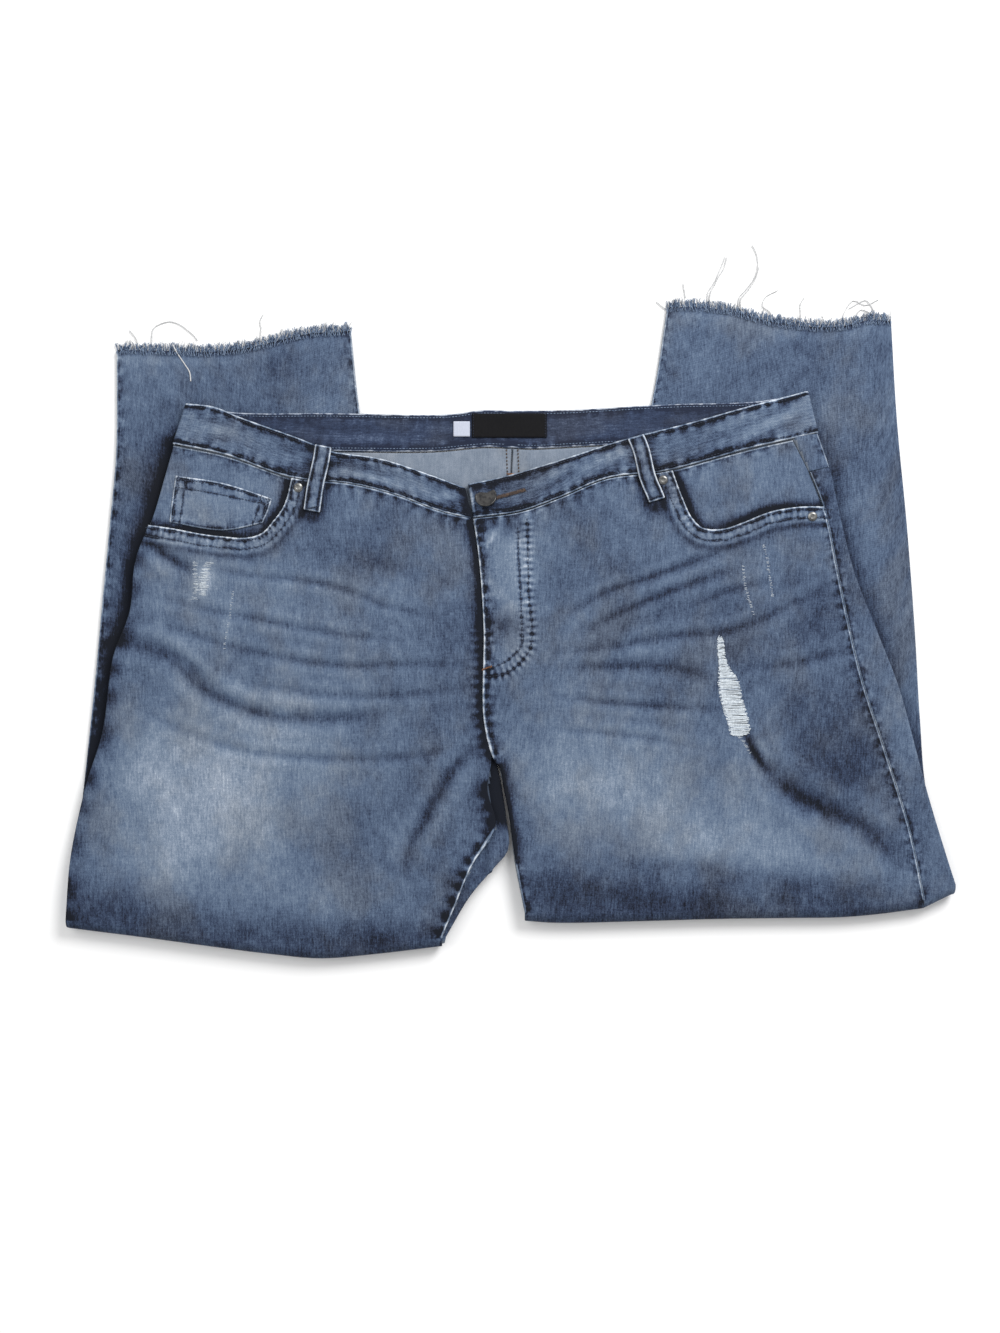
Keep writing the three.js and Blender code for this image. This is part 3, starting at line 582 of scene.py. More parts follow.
def denim_weave():
    """Slubs, twill and mottling of worn denim as one tone, and the cloth's fine height."""
    group, given, result = node_group(
        "denim_weave",
        [("Cloth", "NodeSocketVector", None), ("Slub contrast", "NodeSocketFloat", 1.0)],
        [("Tone", "NodeSocketFloat"), ("Height", "NodeSocketFloat")],
    )
    t = Tree(group)
    cloth = given.outputs["Cloth"]
    slub = t.noise(t.scaled(cloth, (640, 84, 1)), 3, 0.6)
    fine = t.noise(t.scaled(cloth, (1400, 420, 1)), 2, 0.6)
    weft = t.noise(t.scaled(cloth, (130, 900, 1)), 2, 0.6)
    cloud = t.noise(t.scaled(cloth, (24, 16, 1)), 4, 0.62)
    patchy = t.noise(t.scaled(cloth, (110, 80, 1)), 3, 0.6)
    fleck = t.span(t.noise(t.scaled(cloth, (800, 380, 1)), 1, 0.5), 0.66, 0.76)
    twill = t.nodes.new("ShaderNodeTexWave")
    twill.bands_direction = "DIAGONAL"
    t.put(twill.inputs["Vector"], t.scaled(cloth, (1, -1.6, 1)))
    twill.inputs["Scale"].default_value = 230
    twill.inputs["Distortion"].default_value = 0.6
    slubs = t.varied(weft, 0.38, t.varied(fine, 0.85, t.varied(slub, 0.85)))
    slubs = t.math("MULTIPLY_ADD", fleck, 0.12, slubs)
    slubs = t.varied(twill.outputs["Fac"], 0.05, slubs)
    tone = t.math("MULTIPLY", slubs, given.outputs["Slub contrast"])
    tone = t.varied(patchy, 0.26, t.varied(cloud, 0.46, tone))
    height = t.math("MULTIPLY_ADD", twill.outputs["Fac"], 0.5, t.math("MULTIPLY", slub, 0.9))
    t.put(result.inputs["Tone"], tone)
    t.put(result.inputs["Height"], height)
    return group


def seam_wear_and_highlight():
    """Rubbed, mottled edges beside a seam: light on the ridge, dark in the dips next to it; along the fly the
    light ridge is a painted highlight.
    """
    group, given, result = node_group(
        "seam_wear_and_highlight",
        [
            ("Cloth", "NodeSocketVector", None),
            ("Distance", "NodeSocketFloat", 1.0),
            ("Ridge", "NodeSocketFloat", 0.0015),
            ("Reach", "NodeSocketFloat", 0.010),
            ("Light", "NodeSocketFloat", 0.3),
            ("Dark", "NodeSocketFloat", 0.25),
            ("Mottle", "NodeSocketFloat", 0.6),
        ],
        [("Tone", "NodeSocketFloat"), ("Height", "NodeSocketFloat")],
    )
    t = Tree(group)
    cloth = given.outputs["Cloth"]
    patchy = t.noise(t.scaled(cloth, (200, 200, 1)), 2, 0.6)
    broad = t.noise(t.scaled(cloth, (115, 115, 1)), 3, 0.6)
    share = t.math("DIVIDE", given.outputs["Distance"], given.outputs["Ridge"])
    ridge = t.span(share, 0.5, 1.3, 1.0, 0.0)
    groove = t.math("SUBTRACT", t.span(share, 1.2, 3.0, 1.0, 0.0), ridge, clamp=True)
    dip = t.span(t.math("DIVIDE", given.outputs["Distance"], given.outputs["Reach"]), 0.10, 1.0, 1.0, 0.0)
    beside = t.math("SUBTRACT", dip, ridge, clamp=True)
    light = t.math("MULTIPLY", ridge, t.span(patchy, 0.30, 0.50, 0.45, 1.0))
    dark = t.math("MULTIPLY", beside, t.span(broad, 0.40, 0.62, 1.0, 0.0))
    dark = t.math("MULTIPLY_ADD", groove, 0.8, dark)
    mottle = t.math("MULTIPLY", dip, t.math("SUBTRACT", broad, 0.5))
    tone = t.math("MULTIPLY", light, given.outputs["Light"])
    tone = t.math("SUBTRACT", tone, t.math("MULTIPLY", dark, given.outputs["Dark"]))
    tone = t.math("MULTIPLY_ADD", mottle, given.outputs["Mottle"], tone)
    t.put(result.inputs["Tone"], tone)
    t.put(result.inputs["Height"], t.math("MULTIPLY", ridge, 1.2))
    return group


def principled(name, roughness=0.9, **constants):
    """A new material, its tree and its shader; underscores stand for spaces in the sockets' names."""
    material = bpy.data.materials.new(name)
    material.use_nodes = True
    shader = material.node_tree.nodes["Principled BSDF"]
    shader.inputs["Roughness"].default_value = roughness
    for label, value in constants.items():
        shader.inputs[label.replace("_", " ")].default_value = value
    return material, Tree(material.node_tree), shader


def bump(t, shader, height, strength, depth):
    node = t.nodes.new("ShaderNodeBump")
    node.inputs["Strength"].default_value = strength
    node.inputs["Distance"].default_value = depth
    t.put(node.inputs["Height"], height)
    t.put(shader.inputs["Normal"], node.outputs["Normal"])


WEAVE = denim_weave()
WEAR_AND_HIGHLIGHT = seam_wear_and_highlight()

# Colours from the darkest tone, where the painted shade is deepest, to the most faded dye,
# for the outside, the inside and the waistband's lining.
INDIGO = [
    (0.00, (0.004, 0.006, 0.012)),
    (0.09, (0.013, 0.019, 0.040)),
    (0.20, (0.028, 0.044, 0.086)),
    (0.42, (0.080, 0.118, 0.190)),
    (0.60, (0.140, 0.188, 0.264)),
    (0.80, (0.258, 0.310, 0.392)),
    (1.00, (0.520, 0.575, 0.650)),
]
WRONG_SIDE = [
    (0.00, (0.060, 0.080, 0.120)),
    (0.30, (0.150, 0.185, 0.240)),
    (0.60, (0.250, 0.285, 0.345)),
    (1.00, (0.420, 0.450, 0.500)),
]
BAND_LINING = [
    (0.00, (0.012, 0.018, 0.040)),
    (0.35, (0.030, 0.046, 0.092)),
    (0.60, (0.075, 0.105, 0.175)),
    (1.00, (0.330, 0.370, 0.440)),
]


TONE_GAIN = 1.3  # how strongly the points' tone counts: fades, creases and painted shade
MOTTLE = 0.9  # how blotchy a worn edge is
# A value that holds a distance in metres: half width of the ridge, reach, light on it and dark beside it.
EDGE_WEAR_AND_HIGHLIGHT = [("seam", 0.0012, 0.011, 0.37, 0.13), ("row", 0.0005, 0.0030, 0.0, 0.24)]
WARM_GREY = (1.0, 0.99, 0.96)


def greyed(stops):
    """The same tones with half their hue gone, slightly warm."""
    greys = []
    for position, colour in stops:
        grey = 0.55 * sum(colour) / 3
        greys.append((position, tuple(0.45 * c + grey * warm for c, warm in zip(colour, WARM_GREY))))
    return greys


def denim(name, stops, base, contrast=1.0, edge_marks=1.0):
    """Cloth that reads its own map and the tone, seam and row values of its points."""
    material, t, shader = principled(name, roughness=0.92, Specular_IOR_Level=0.25)
    cloth_map_node = t.nodes.new("ShaderNodeUVMap")
    cloth_map_node.uv_map = "cloth"
    cloth = cloth_map_node.outputs["UV"]
    values = {}
    for key in ("tone", "seam", "row"):
        node = t.nodes.new("ShaderNodeAttribute")
        node.attribute_name = key
        values[key] = node.outputs["Fac"]
    weave = t.group(WEAVE)
    t.put(weave.inputs["Cloth"], cloth)
    weave.inputs["Slub contrast"].default_value = contrast
    total = t.math("ADD", weave.outputs["Tone"], base)
    total = t.math("MULTIPLY_ADD", values["tone"], TONE_GAIN, total)
    height = weave.outputs["Height"]
    for key, ridge, reach, light, dark in EDGE_WEAR_AND_HIGHLIGHT:
        worn = t.group(WEAR_AND_HIGHLIGHT)
        t.put(worn.inputs["Cloth"], cloth)
        t.put(worn.inputs["Distance"], values[key])
        sizes = dict(Ridge=ridge, Reach=reach, Light=light * edge_marks, Dark=dark * edge_marks, Mottle=MOTTLE * edge_marks)
        for label, number in sizes.items():
            worn.inputs[label].default_value = number
        total = t.math("ADD", worn.outputs["Tone"], total)
        height = t.math("ADD", height, worn.outputs["Height"])
    tint = t.noise(t.scaled(cloth, (17, 13, 1)), 4, 0.6)
    colour = t.nodes.new("ShaderNodeMix")
    colour.data_type = "RGBA"
    t.put(colour.inputs["Factor"], t.span(tint, 0.44, 0.66, 0.05, 0.48))
    t.put(colour.inputs["A"], t.ramp(total, stops))
    t.put(colour.inputs["B"], t.ramp(total, greyed(stops)))
    t.put(shader.inputs["Base Color"], colour.outputs["Result"])
    bump(t, shader, height, 0.5, 0.0003)
    return material


def threads(name, colour, other, roughness=0.85):
    """Twisted cotton: two close colours along and round the thread."""
    material, t, shader = principled(name, roughness=roughness)
    place = t.place()
    grain = t.noise(t.scaled(place, (700, 700, 700)), 2, 0.6)
    t.put(shader.inputs["Base Color"], t.ramp(grain, [(0.35, colour), (0.65, other)]))
    bump(t, shader, grain, 0.3, 0.0002)
    return material


def aged_metal(name, dark, bright):
    """Worn plating: patches of bare, smoother metal in a dull film."""
    material, t, shader = principled(name, roughness=0.42, Metallic=0.85)
    place = t.place()
    patina = t.noise(t.scaled(place, (260, 260, 260)), 4, 0.65)
    t.put(shader.inputs["Base Color"], t.ramp(patina, [(0.35, dark), (0.68, bright)]))
    t.put(shader.inputs["Roughness"], t.span(patina, 0.3, 0.7, 0.55, 0.30))
    bump(t, shader, t.noise(t.scaled(place, (1500, 1500, 1500)), 2, 0.5), 0.15, 0.0002)
    return material


def woven_label(name, colour, other):
    """Fine ribbed satin ribbon."""
    material, t, shader = principled(name, roughness=0.75, Specular_IOR_Level=0.12)
    place = t.place()
    rib = t.nodes.new("ShaderNodeTexWave")
    rib.bands_direction = "Y"
    t.put(rib.inputs["Vector"], place)
    rib.inputs["Scale"].default_value = 420
    rib.inputs["Distortion"].default_value = 0.8
    grain = t.noise(t.scaled(place, (900, 300, 300)), 2, 0.6)
    tone = t.math("MULTIPLY_ADD", rib.outputs["Fac"], 0.4, t.math("MULTIPLY", grain, 0.6))
    t.put(shader.inputs["Base Color"], t.ramp(tone, [(0.2, colour), (0.8, other)]))
    bump(t, shader, rib.outputs["Fac"], 0.35, 0.0002)
    return material


DENIM = denim("faded_denim", INDIGO, 0.37, contrast=0.58)
BAND_DENIM = denim("band_denim", INDIGO, 0.34, contrast=0.7, edge_marks=1.0)
DENIM_INSIDE = denim("denim_wrong_side", WRONG_SIDE, 0.35, contrast=0.4, edge_marks=0.3)
BAND_INSIDE = denim("band_lining", BAND_LINING, 0.19, contrast=0.9, edge_marks=1.6)
NAVY_THREAD = threads("navy_topstitch", (0.010, 0.014, 0.030), (0.030, 0.040, 0.070))
RUST_THREAD = threads("rust_topstitch", (0.150, 0.060, 0.025), (0.300, 0.140, 0.060))
BROWN_THREAD = threads("brown_buttonhole_thread", (0.030, 0.022, 0.020), (0.110, 0.070, 0.050))
GREY_THREAD = threads("grey_cotton", (0.42, 0.425, 0.435), (0.62, 0.62, 0.62))
PALE_THREAD = threads("pale_cotton", (0.42, 0.47, 0.52), (0.62, 0.67, 0.71))
BLUE_THREAD = threads("blue_cotton", (0.05, 0.085, 0.16), (0.22, 0.29, 0.40))
INDIGO_THREAD = threads("indigo_cotton", (0.015, 0.028, 0.065), (0.06, 0.10, 0.18))
BRONZE = aged_metal("dark_bronze", (0.022, 0.022, 0.024), (0.10, 0.098, 0.096))
NICKEL = aged_metal("worn_nickel", (0.07, 0.07, 0.07), (0.30, 0.30, 0.29))
BLACK_LABEL = woven_label("black_ribbon", (0.003, 0.003, 0.004), (0.009, 0.009, 0.010))
WHITE_TAB = woven_label("white_ribbon", (0.40, 0.43, 0.52), (0.52, 0.55, 0.64))
CLOTH_SIDES = [DENIM, DENIM_INSIDE]
CLOTH_TURNED = [DENIM_INSIDE, DENIM]  # the wrong side up


# ------------------------------------------------------------------ leg panels
def spread(count, crowd=0.5):
    """Shares from 0 to 1, closer together near both ends."""
    t = np.linspace(0, 1, count + 1)
    return t - crowd * np.sin(2 * np.pi * t) / (2 * np.pi)


def rows_of(length, cell=CELL, least=6):
    """How many cells of a given size a length takes."""
    return max(least, int(round(length / cell)))


# Each leg turns round its fold line, where the upper part's last row meets the calf's first.
RIGHT_FOLD = lift(RIGHT["fold"], FOLD_CENTRE)
LEFT_FOLD = lift(LEFT["fold"], FOLD_CENTRE)
SEAM_LEFT = spline(LEFT["side_seam"])
CALF_SEAM_LEFT = spline(reverse(LEFT["calf_seam"]))
FRONT_RIGHT = patch(RIGHT["side"], moved(FLY, -0.6) + RIGHT["inseam"], RIGHT["front_waist"], RIGHT_FOLD)
BACK_RIGHT = patch(RIGHT["side"], moved(CENTRE_BACK, -0.8) + RIGHT["back_inseam"], RIGHT["back_waist"],
                   RIGHT_FOLD)
CALF_RIGHT = patch(reverse(RIGHT["calf_side"]), reverse(RIGHT["calf_inseam"]), RIGHT_FOLD, RIGHT["hem"])
FRONT_LEFT = patch(LEFT["side_seam"], moved(FLY, 0.6) + LEFT["inseam"], reverse(LEFT["front_waist"]),
                   reverse(LEFT_FOLD[:-1]))
BACK_LEFT = patch(LEFT["side"], moved(CENTRE_BACK, 0.8) + LEFT["inseam"], reverse(LEFT["back_waist"]),
                  reverse(LEFT_FOLD))
CALF_LEFT = patch(reverse(LEFT["calf_side"]), reverse(LEFT["calf_inseam"]), reverse(LEFT_FOLD),
                  reverse(LEFT["hem"]))
CALF_FRONT_LEFT = patch(reverse(LEFT["calf_seam"]), reverse(LEFT["calf_inseam"]),
                        reverse(LEFT_FOLD[:-1]), [LEFT["calf_seam"][0]] + reverse(LEFT["hem"])[1:])


def edge_drop(away, reach):
    """How far an edge has rolled down, from 1 at the edge to 0 at the reach."""
    t = np.clip(away / reach, 0, 1)
    return 1 - np.sqrt(np.clip(1 - (1 - t) ** 2, 0, 1))


STRIP_BACK = 2.1  # how far behind the panel's edge the strip's last column ends
SEWN_REACH = 4.5  # over what width sewn edges bend towards each other


class Columns:
    """Where the columns of a leg panel lie: across the panel, or on the strip rolled over an edge.

    Level is fixed where it is given: 1 for the front layer, 0 for the back one.
    """

    def __init__(self, across, level=None, strip=None, shift=None):
        n = len(across)
        blank = np.full(n, np.nan)
        self.across = np.asarray(across, float)
        self.level = blank.copy() if level is None else np.asarray(level, float)
        self.strip = blank.copy() if strip is None else np.asarray(strip, float)
        self.shift = np.zeros(n) if shift is None else np.asarray(shift, float)


def leg_panel(upper, calf, layer, columns, counts, first=0.0, seams=(None, None), rolled=(True, True)):
    """Middle points of a leg panel from the waist round the fold to the hem, with its cloth map."""
    upper_rows, wrap_rows, calf_rows = counts
    u = columns.across[None, :]
    on_strip = ~np.isnan(columns.strip)

    def places(base, v, seam):
        xy = base(u, v)
        if seam is not None and on_strip.any():
            edge = xy[:, on_strip]
            line = seam(v[:, 0])[:, None, :] + [SEAM, 0]
            to = edge - [STRIP_BACK, 0]
            xy[:, on_strip] = line + (to - line) * columns.strip[on_strip][None, :, None]
        xy[..., 0] += columns.shift
        return xy

    def level_of(xy, pitch):
        start, end = xy[:, :1], xy[:, -1:]
        width = np.linalg.norm(end - start, axis=2)
        near = np.minimum(side_pitch(xy[..., 1]), pitch)
        side = edge_drop(u * width, SEWN_REACH) if rolled[0] else 0
        inner = edge_drop((1 - u) * width, SEWN_REACH) * (xy[..., 1] < CROTCH) if rolled[1] else 0
        drop = np.clip(side + inner, 0, 1) * (0.5 - near / pitch / 2)
        level = 1 - drop if layer == "front" else drop
        fixed = np.broadcast_to(columns.level, level.shape)
        return np.where(np.isnan(fixed), level, fixed)

    v = mix(np.broadcast_to(first, u.shape), 1.0, np.linspace(0, 1, upper_rows + 1)[:, None])
    top = places(upper, v, seams[0])
    x, y = top[..., 0], top[..., 1]
    pitch = layer_pitch(x, y)
    level = level_of(top, pitch)
    z = back_height(x, y) + pitch * level
    parts = [np.dstack([top, z])]
    t = (np.arange(1, wrap_rows + 1) / wrap_rows)[:, None]
    start = places(upper, np.ones((1, u.shape[1])), seams[0])
    end = places(calf, np.zeros((1, u.shape[1])), seams[1])
    turn = mix(start, end, t[..., None])
    radius = FOLD_RADIUS - LAYER_PITCH * (1 - level_of(turn, LAYER_PITCH))
    parts.append(np.dstack([turn[..., 0], turn[..., 1] - radius * np.sin(np.pi * t),
                            FOLD_CENTRE + radius * np.cos(np.pi * t)]))
    v = np.broadcast_to((np.arange(1, calf_rows + 1) / calf_rows)[:, None], (calf_rows, u.shape[1]))
    low = places(calf, v, seams[1])
    parts.append(np.dstack([low, CALF_BACK - LAYER_PITCH * level_of(low, LAYER_PITCH)]))
    return np.vstack(parts)


def cloth_map(points, counts, lean, calf_lean):
    """The grain runs straight along each stretch of a leg; the map is in metres."""
    upper_rows, wrap_rows, _ = counts
    x, y = points[..., 0], points[..., 1]
    c, s = math.cos(lean), math.sin(lean)
    u, v = c * x + s * y, c * y - s * x
    step = np.linalg.norm(np.diff(points[upper_rows:], axis=0), axis=2)
    v[upper_rows + 1:] = v[upper_rows] - np.cumsum(step, axis=0)
    turned = upper_rows + wrap_rows
    c, s = math.cos(calf_lean), math.sin(calf_lean)
    across = c * x + s * y
    u[upper_rows + 1:turned + 1] = u[upper_rows]
    u[turned + 1:] = u[upper_rows] + across[turned + 1:] - across[turned]
    return np.dstack([u, v]) * MM


def seam_values(points, lines, broad=(), cap=30.0):
    """Distance from each point to the nearest of some lines, in metres.

    A broad line counts as half as far away as it is.
    """
    away = np.full(points.shape[:2], cap)
    for line in broad:
        away = np.minimum(away, distance(points[..., 0], points[..., 1], line) / 2)
    for line in lines:
        away = np.minimum(away, distance(points[..., 0], points[..., 1], line))
    return away * MM


def nearest_place(x, y, line):
    """The closest place on a line, for each point."""
    best = np.full(x.shape, 1e9)
    to_x, to_y = x.copy(), y.copy()
    for a, b in zip(line[:-1], line[1:]):
        d = b - a
        t = np.clip(((x - a[0]) * d[0] + (y - a[1]) * d[1]) / max(d @ d, 1e-9), 0, 1)
        px, py = a[0] + t * d[0], a[1] + t * d[1]
        away = np.hypot(x - px, y - py)
        closer = away < best
        best = np.where(closer, away, best)
        to_x, to_y = np.where(closer, px, to_x), np.where(closer, py, to_y)
    return to_x, to_y


def cut_openings(points, outlines):
    """Marks the cells outside the openings, and brings the points round each opening onto its edge."""
    middle = (points[:-1, :-1] + points[1:, 1:] + points[1:, :-1] + points[:-1, 1:]) / 4
    keep = np.ones(middle.shape[:2], bool)
    for outline in outlines:
        hole = inside(middle[..., 0], middle[..., 1], outline)
        keep &= ~hole
        wide = np.pad(hole, 1, mode="edge")
        corners = np.stack([wide[:-1, :-1], wide[1:, :-1], wide[:-1, 1:], wide[1:, 1:]])
        edge = corners.any(axis=0) & ~corners.all(axis=0)
        line = np.array(list(outline) + [outline[0]])
        to_x, to_y = nearest_place(points[..., 0][edge], points[..., 1][edge], line)
        points[..., 0][edge] = to_x
        points[..., 1][edge] = to_y
    return keep


def fold_depth(points, counts, plain):
    """The hidden halves of a back panel fill the fold, with a slit between them."""
    upper_rows, wrap_rows, _ = counts
    x, y, z = points[..., 0], points[..., 1], points[..., 2]
    middle = (back_height(x, y) + CALF_BACK) / 2
    share = 1 - smooth(25, 95, above_fold(x, y))
    depth = mix(WALL / 2, np.abs(z - middle) - SLIT, share)
    wrap = slice(upper_rows + 1, upper_rows + wrap_rows)
    centre = y[upper_rows]
    depth[wrap] = np.hypot(z[wrap] - FOLD_CENTRE, y[wrap] - centre) - SLIT
    depth = np.maximum(depth, WALL / 2)
    return np.where(plain[None, :], WALL / 2, depth)


def pocket_hole(opening, corner):
    """The outline of what a pocket's opening cuts off, up past the waist."""
    return [tuple(p) for p in coarse(opening)] + corner


HOLE_RIGHT = pocket_hole(POCKET_RIGHT, [(-345, 65), (-345, 190), (-190.1, 190)])
HOLE_LEFT = pocket_hole(POCKET_LEFT, [(330, 81), (330, 190), (140.5, 190)])
RIP_EDGE = [tuple(p) for p in spline(RIP + RIP[:1], 5).line[:-1]]


FOLD_SHADE = -0.14  # painted shade on the rounded fold, where the cloth turns under


def front_panel(side, upper, calf, lean, calf_lean, edges, holes, rolled, broad=()):
    """One cut piece from the front of the waist round the fold to the hem."""
    counts = (rows_of(LEG_STRETCH), WRAP_ROWS, rows_of(LEG_STRETCH, HIDDEN_SPACING))
    columns = Columns(spread(rows_of(PANEL_WIDTH), PANEL_CROWD))
    points = leg_panel(upper, calf, "front", columns, counts, rolled=rolled)
    split = counts[0] + 1
    top = points[:split]
    keep = np.ones((points.shape[0] - 1, points.shape[1] - 1), bool)
    keep[:counts[0]] = cut_openings(top, holes)
    x, y = top[..., 0], top[..., 1]
    height, shade = top_relief(side, x, y)
    top[..., 2] += height
    # Only the rows round the fold keep the painted fold shade; the top is painted darker too as it nears the
    # fold.
    tone = np.full(points.shape[:2], FOLD_SHADE)
    tone[:split] = shade + fade_and_shade_at(x, y) - 0.08 * (1 - smooth(-5, 30, above_fold(x, y)))
    tone[split + counts[1]:] = 0
    values = dict(tone=tone, seam=seam_values(points, [edge.line for edge in edges], broad),
                  row=seam_values(points, FRONT_ROWS[side]))
    piece = shell(f"{side}_front_panel", points, CLOTH_SIDES, keep=keep, values=values,
                  uv=cloth_map(points, counts, lean, calf_lean), flip=side == "left")
    settle(piece, "denim", f"front_panel_{side}")


CALF_SHADE = dict(right=0.42, left=0.14)  # shade on the calf beside the thigh that lies on it
CALF_SHADE_REACH = 12.0
# the line between the legs along which the painted shade is deepest
CROTCH_GAP = [(-20, -120), (-14, -150), (-6, -172), (-4, -180)]
BACK_CELL = dict(right=3, left=1.4)  # rows are longer where less of the back shows
NO_ROW = 0.03  # metres, beyond the reach of any row of stitches


def back_panel(side, upper, calf, lean, calf_lean, columns, edges, seams, filled, rolled):
    """One cut piece from the yoke round the fold to the hem, showing its wrong side inside the waist."""
    upper_rows = rows_of(LEG_STRETCH, CELL * BACK_CELL[side])
    counts = (upper_rows, BACK_WRAP_ROWS, rows_of(CALF_STRETCH, BACK_SPACING))
    first = mix(YOKE_AT_SIDE, YOKE_AT_CENTRE, columns.across) + YOKE_GAP
    points = leg_panel(upper, calf, "back", columns, counts, first, seams, rolled)
    depth = fold_depth(points, counts, filled)
    x, y = points[..., 0], points[..., 1]
    calf_rows = slice(counts[0] + counts[1] + 1, None)
    calf_x, calf_y = x[calf_rows], y[calf_rows]
    tone = 0.04 * np.sin(x / 37 + 1) * np.sin(y / 51)
    thigh = distance(calf_x, calf_y, coarse(OUTLINES[side]["side"]))
    tone[calf_rows] -= CALF_SHADE[side] * bell(thigh, CALF_SHADE_REACH) * smooth(-250, -150, calf_y)
    hem = distance(calf_x, calf_y, coarse(OUTLINES[side]["hem"]))
    tone[calf_rows] -= 0.02 + 0.24 * bell(hem, 3.0) - 0.06 * bell(hem - 8, 6)
    middle = (points[:-1, :-1] + points[1:, 1:]) / 2
    row = np.arange(len(middle))[:, None]
    if side == "right":
        turned = middle[..., 0] > edge_x(FRONT_INNER, middle[..., 1])
        turned &= (middle[..., 1] < -125) & (row < counts[0] + 3)
        # painted shade deep in the crotch between the legs, and a little on the strip beyond the inseam
        gap = distance(x, y, np.array(CROTCH_GAP, float))
        tone[:counts[0]] -= (1.6 * bell(gap, 10.0) + 0.10 * (x > edge_x(FRONT_INNER, y)))[:counts[0]]
    else:
        turned = middle[..., 0] > edge_x(LEFT["side_seam"], middle[..., 1])
        turned &= row < counts[0] + counts[1] // 2
        tone[:counts[0]] -= (0.10 * smooth(-40, 20, y) * (x > edge_x(LEFT["side_seam"], y)))[:counts[0]]
    for edge in edges:
        away, along = nearest(calf_x, calf_y, edge.line)
        points[calf_rows, :, 2] += 0.5 * (pucker(away, along) + 0.4 * bell(away, 7.0))
    values = dict(tone=tone, seam=seam_values(points, [edge.line for edge in edges]),
                  row=np.full(x.shape, NO_ROW))
    piece = shell(f"{side}_back_panel", points, CLOTH_TURNED, depth=depth, values=values,
                  uv=cloth_map(points, counts, lean, calf_lean), flip=side == "left", turned=turned)
    settle(piece, "denim", f"back_panel_{side}")


def offset(points, away, each=10):
    """A line beside another, to its left where away is positive."""
    line = spline(points, each).line
    d = np.gradient(line, axis=0)
    d /= np.maximum(np.linalg.norm(d, axis=1, keepdims=True), 1e-9)
    return line + away * np.stack([-d[:, 1], d[:, 0]], -1)


J_INNER = [(6.5, 62), (7.4, 29.6), (9.1, 1.7), (10, -25.2), (9.1, -40.9), (2.2, -48.7), (-8.3, -55.7),
           (-19, -60)]
J_OUTER = [(14.4, 70), (15.2, 43.5), (16.1, 1.7), (18.7, -25.2), (17, -42.6), (8.3, -54.8), (-1.3, -62.6),
           (-14.4, -66.1), (-21, -67)]
FLY_EDGE = [(-30, 66), (-24.8, 29.6), (-21.3, -25.2), (-21, -55)]
CROTCH_SEAM = FLY[2:]
FRONT_ROWS = dict(
    right=[offset(POCKET_RIGHT, 2.4), offset(POCKET_RIGHT, 9.6)],
    left=[offset(POCKET_LEFT, -2.4), offset(POCKET_LEFT, -9.6), spline(J_INNER).line, spline(J_OUTER).line,
          spline(FLY_EDGE).line],
)
OPENINGS = dict(right=POCKET_RIGHT, left=POCKET_LEFT)
OUTLINES = dict(right=RIGHT, left=LEFT)
FRONT_INNER = FLY + RIGHT["inseam"]


# Seams with puckers across them: line, reach, height, pitch and change of tone.
PUCKERED = dict(
    right=[
        (POCKET_RIGHT, 9.0, 0.45, 5.4, 0.13),
        (RIGHT["front_waist"], 10.0, 0.6, 12.0, 0.12),
        (CROTCH_SEAM, 9.0, 0.5, 8.0, 0.14),
    ],
    left=[
        (POCKET_LEFT, 9.0, 0.45, 5.4, 0.13),
        (LEFT["front_waist"], 10.0, 0.6, 12.0, 0.12),
        (CROTCH_SEAM, 9.0, 0.5, 8.0, 0.14),
        (J_OUTER, 4.5, 0.5, 6.0, 0.26),
        (J_INNER, 3.0, 0.2, 5.0, 0.14),
        (FLY_EDGE, 5.0, 0.25, 9.0, 0.08),
        (LEFT["side_seam"], 9.0, 0.5, 10.5, 0.05),
    ],
)

LOOP_WIDTH, LOOP_SHADE = 14, 0.22
FRONT_LOOPS = [((-162.6, 133.6), (-173, 77.5)), ((108.8, 141.6), (126.5, 86.5))]


def loop_shade(x, y):
    """How much the belt loops shade the cloth beside them."""
    shade = np.zeros(np.shape(x))
    for top, bottom in FRONT_LOOPS:
        away = distance(x, y, [top, bottom])
        shade += bell(np.maximum(away - LOOP_WIDTH / 2, 0), 5.0)
    return shade


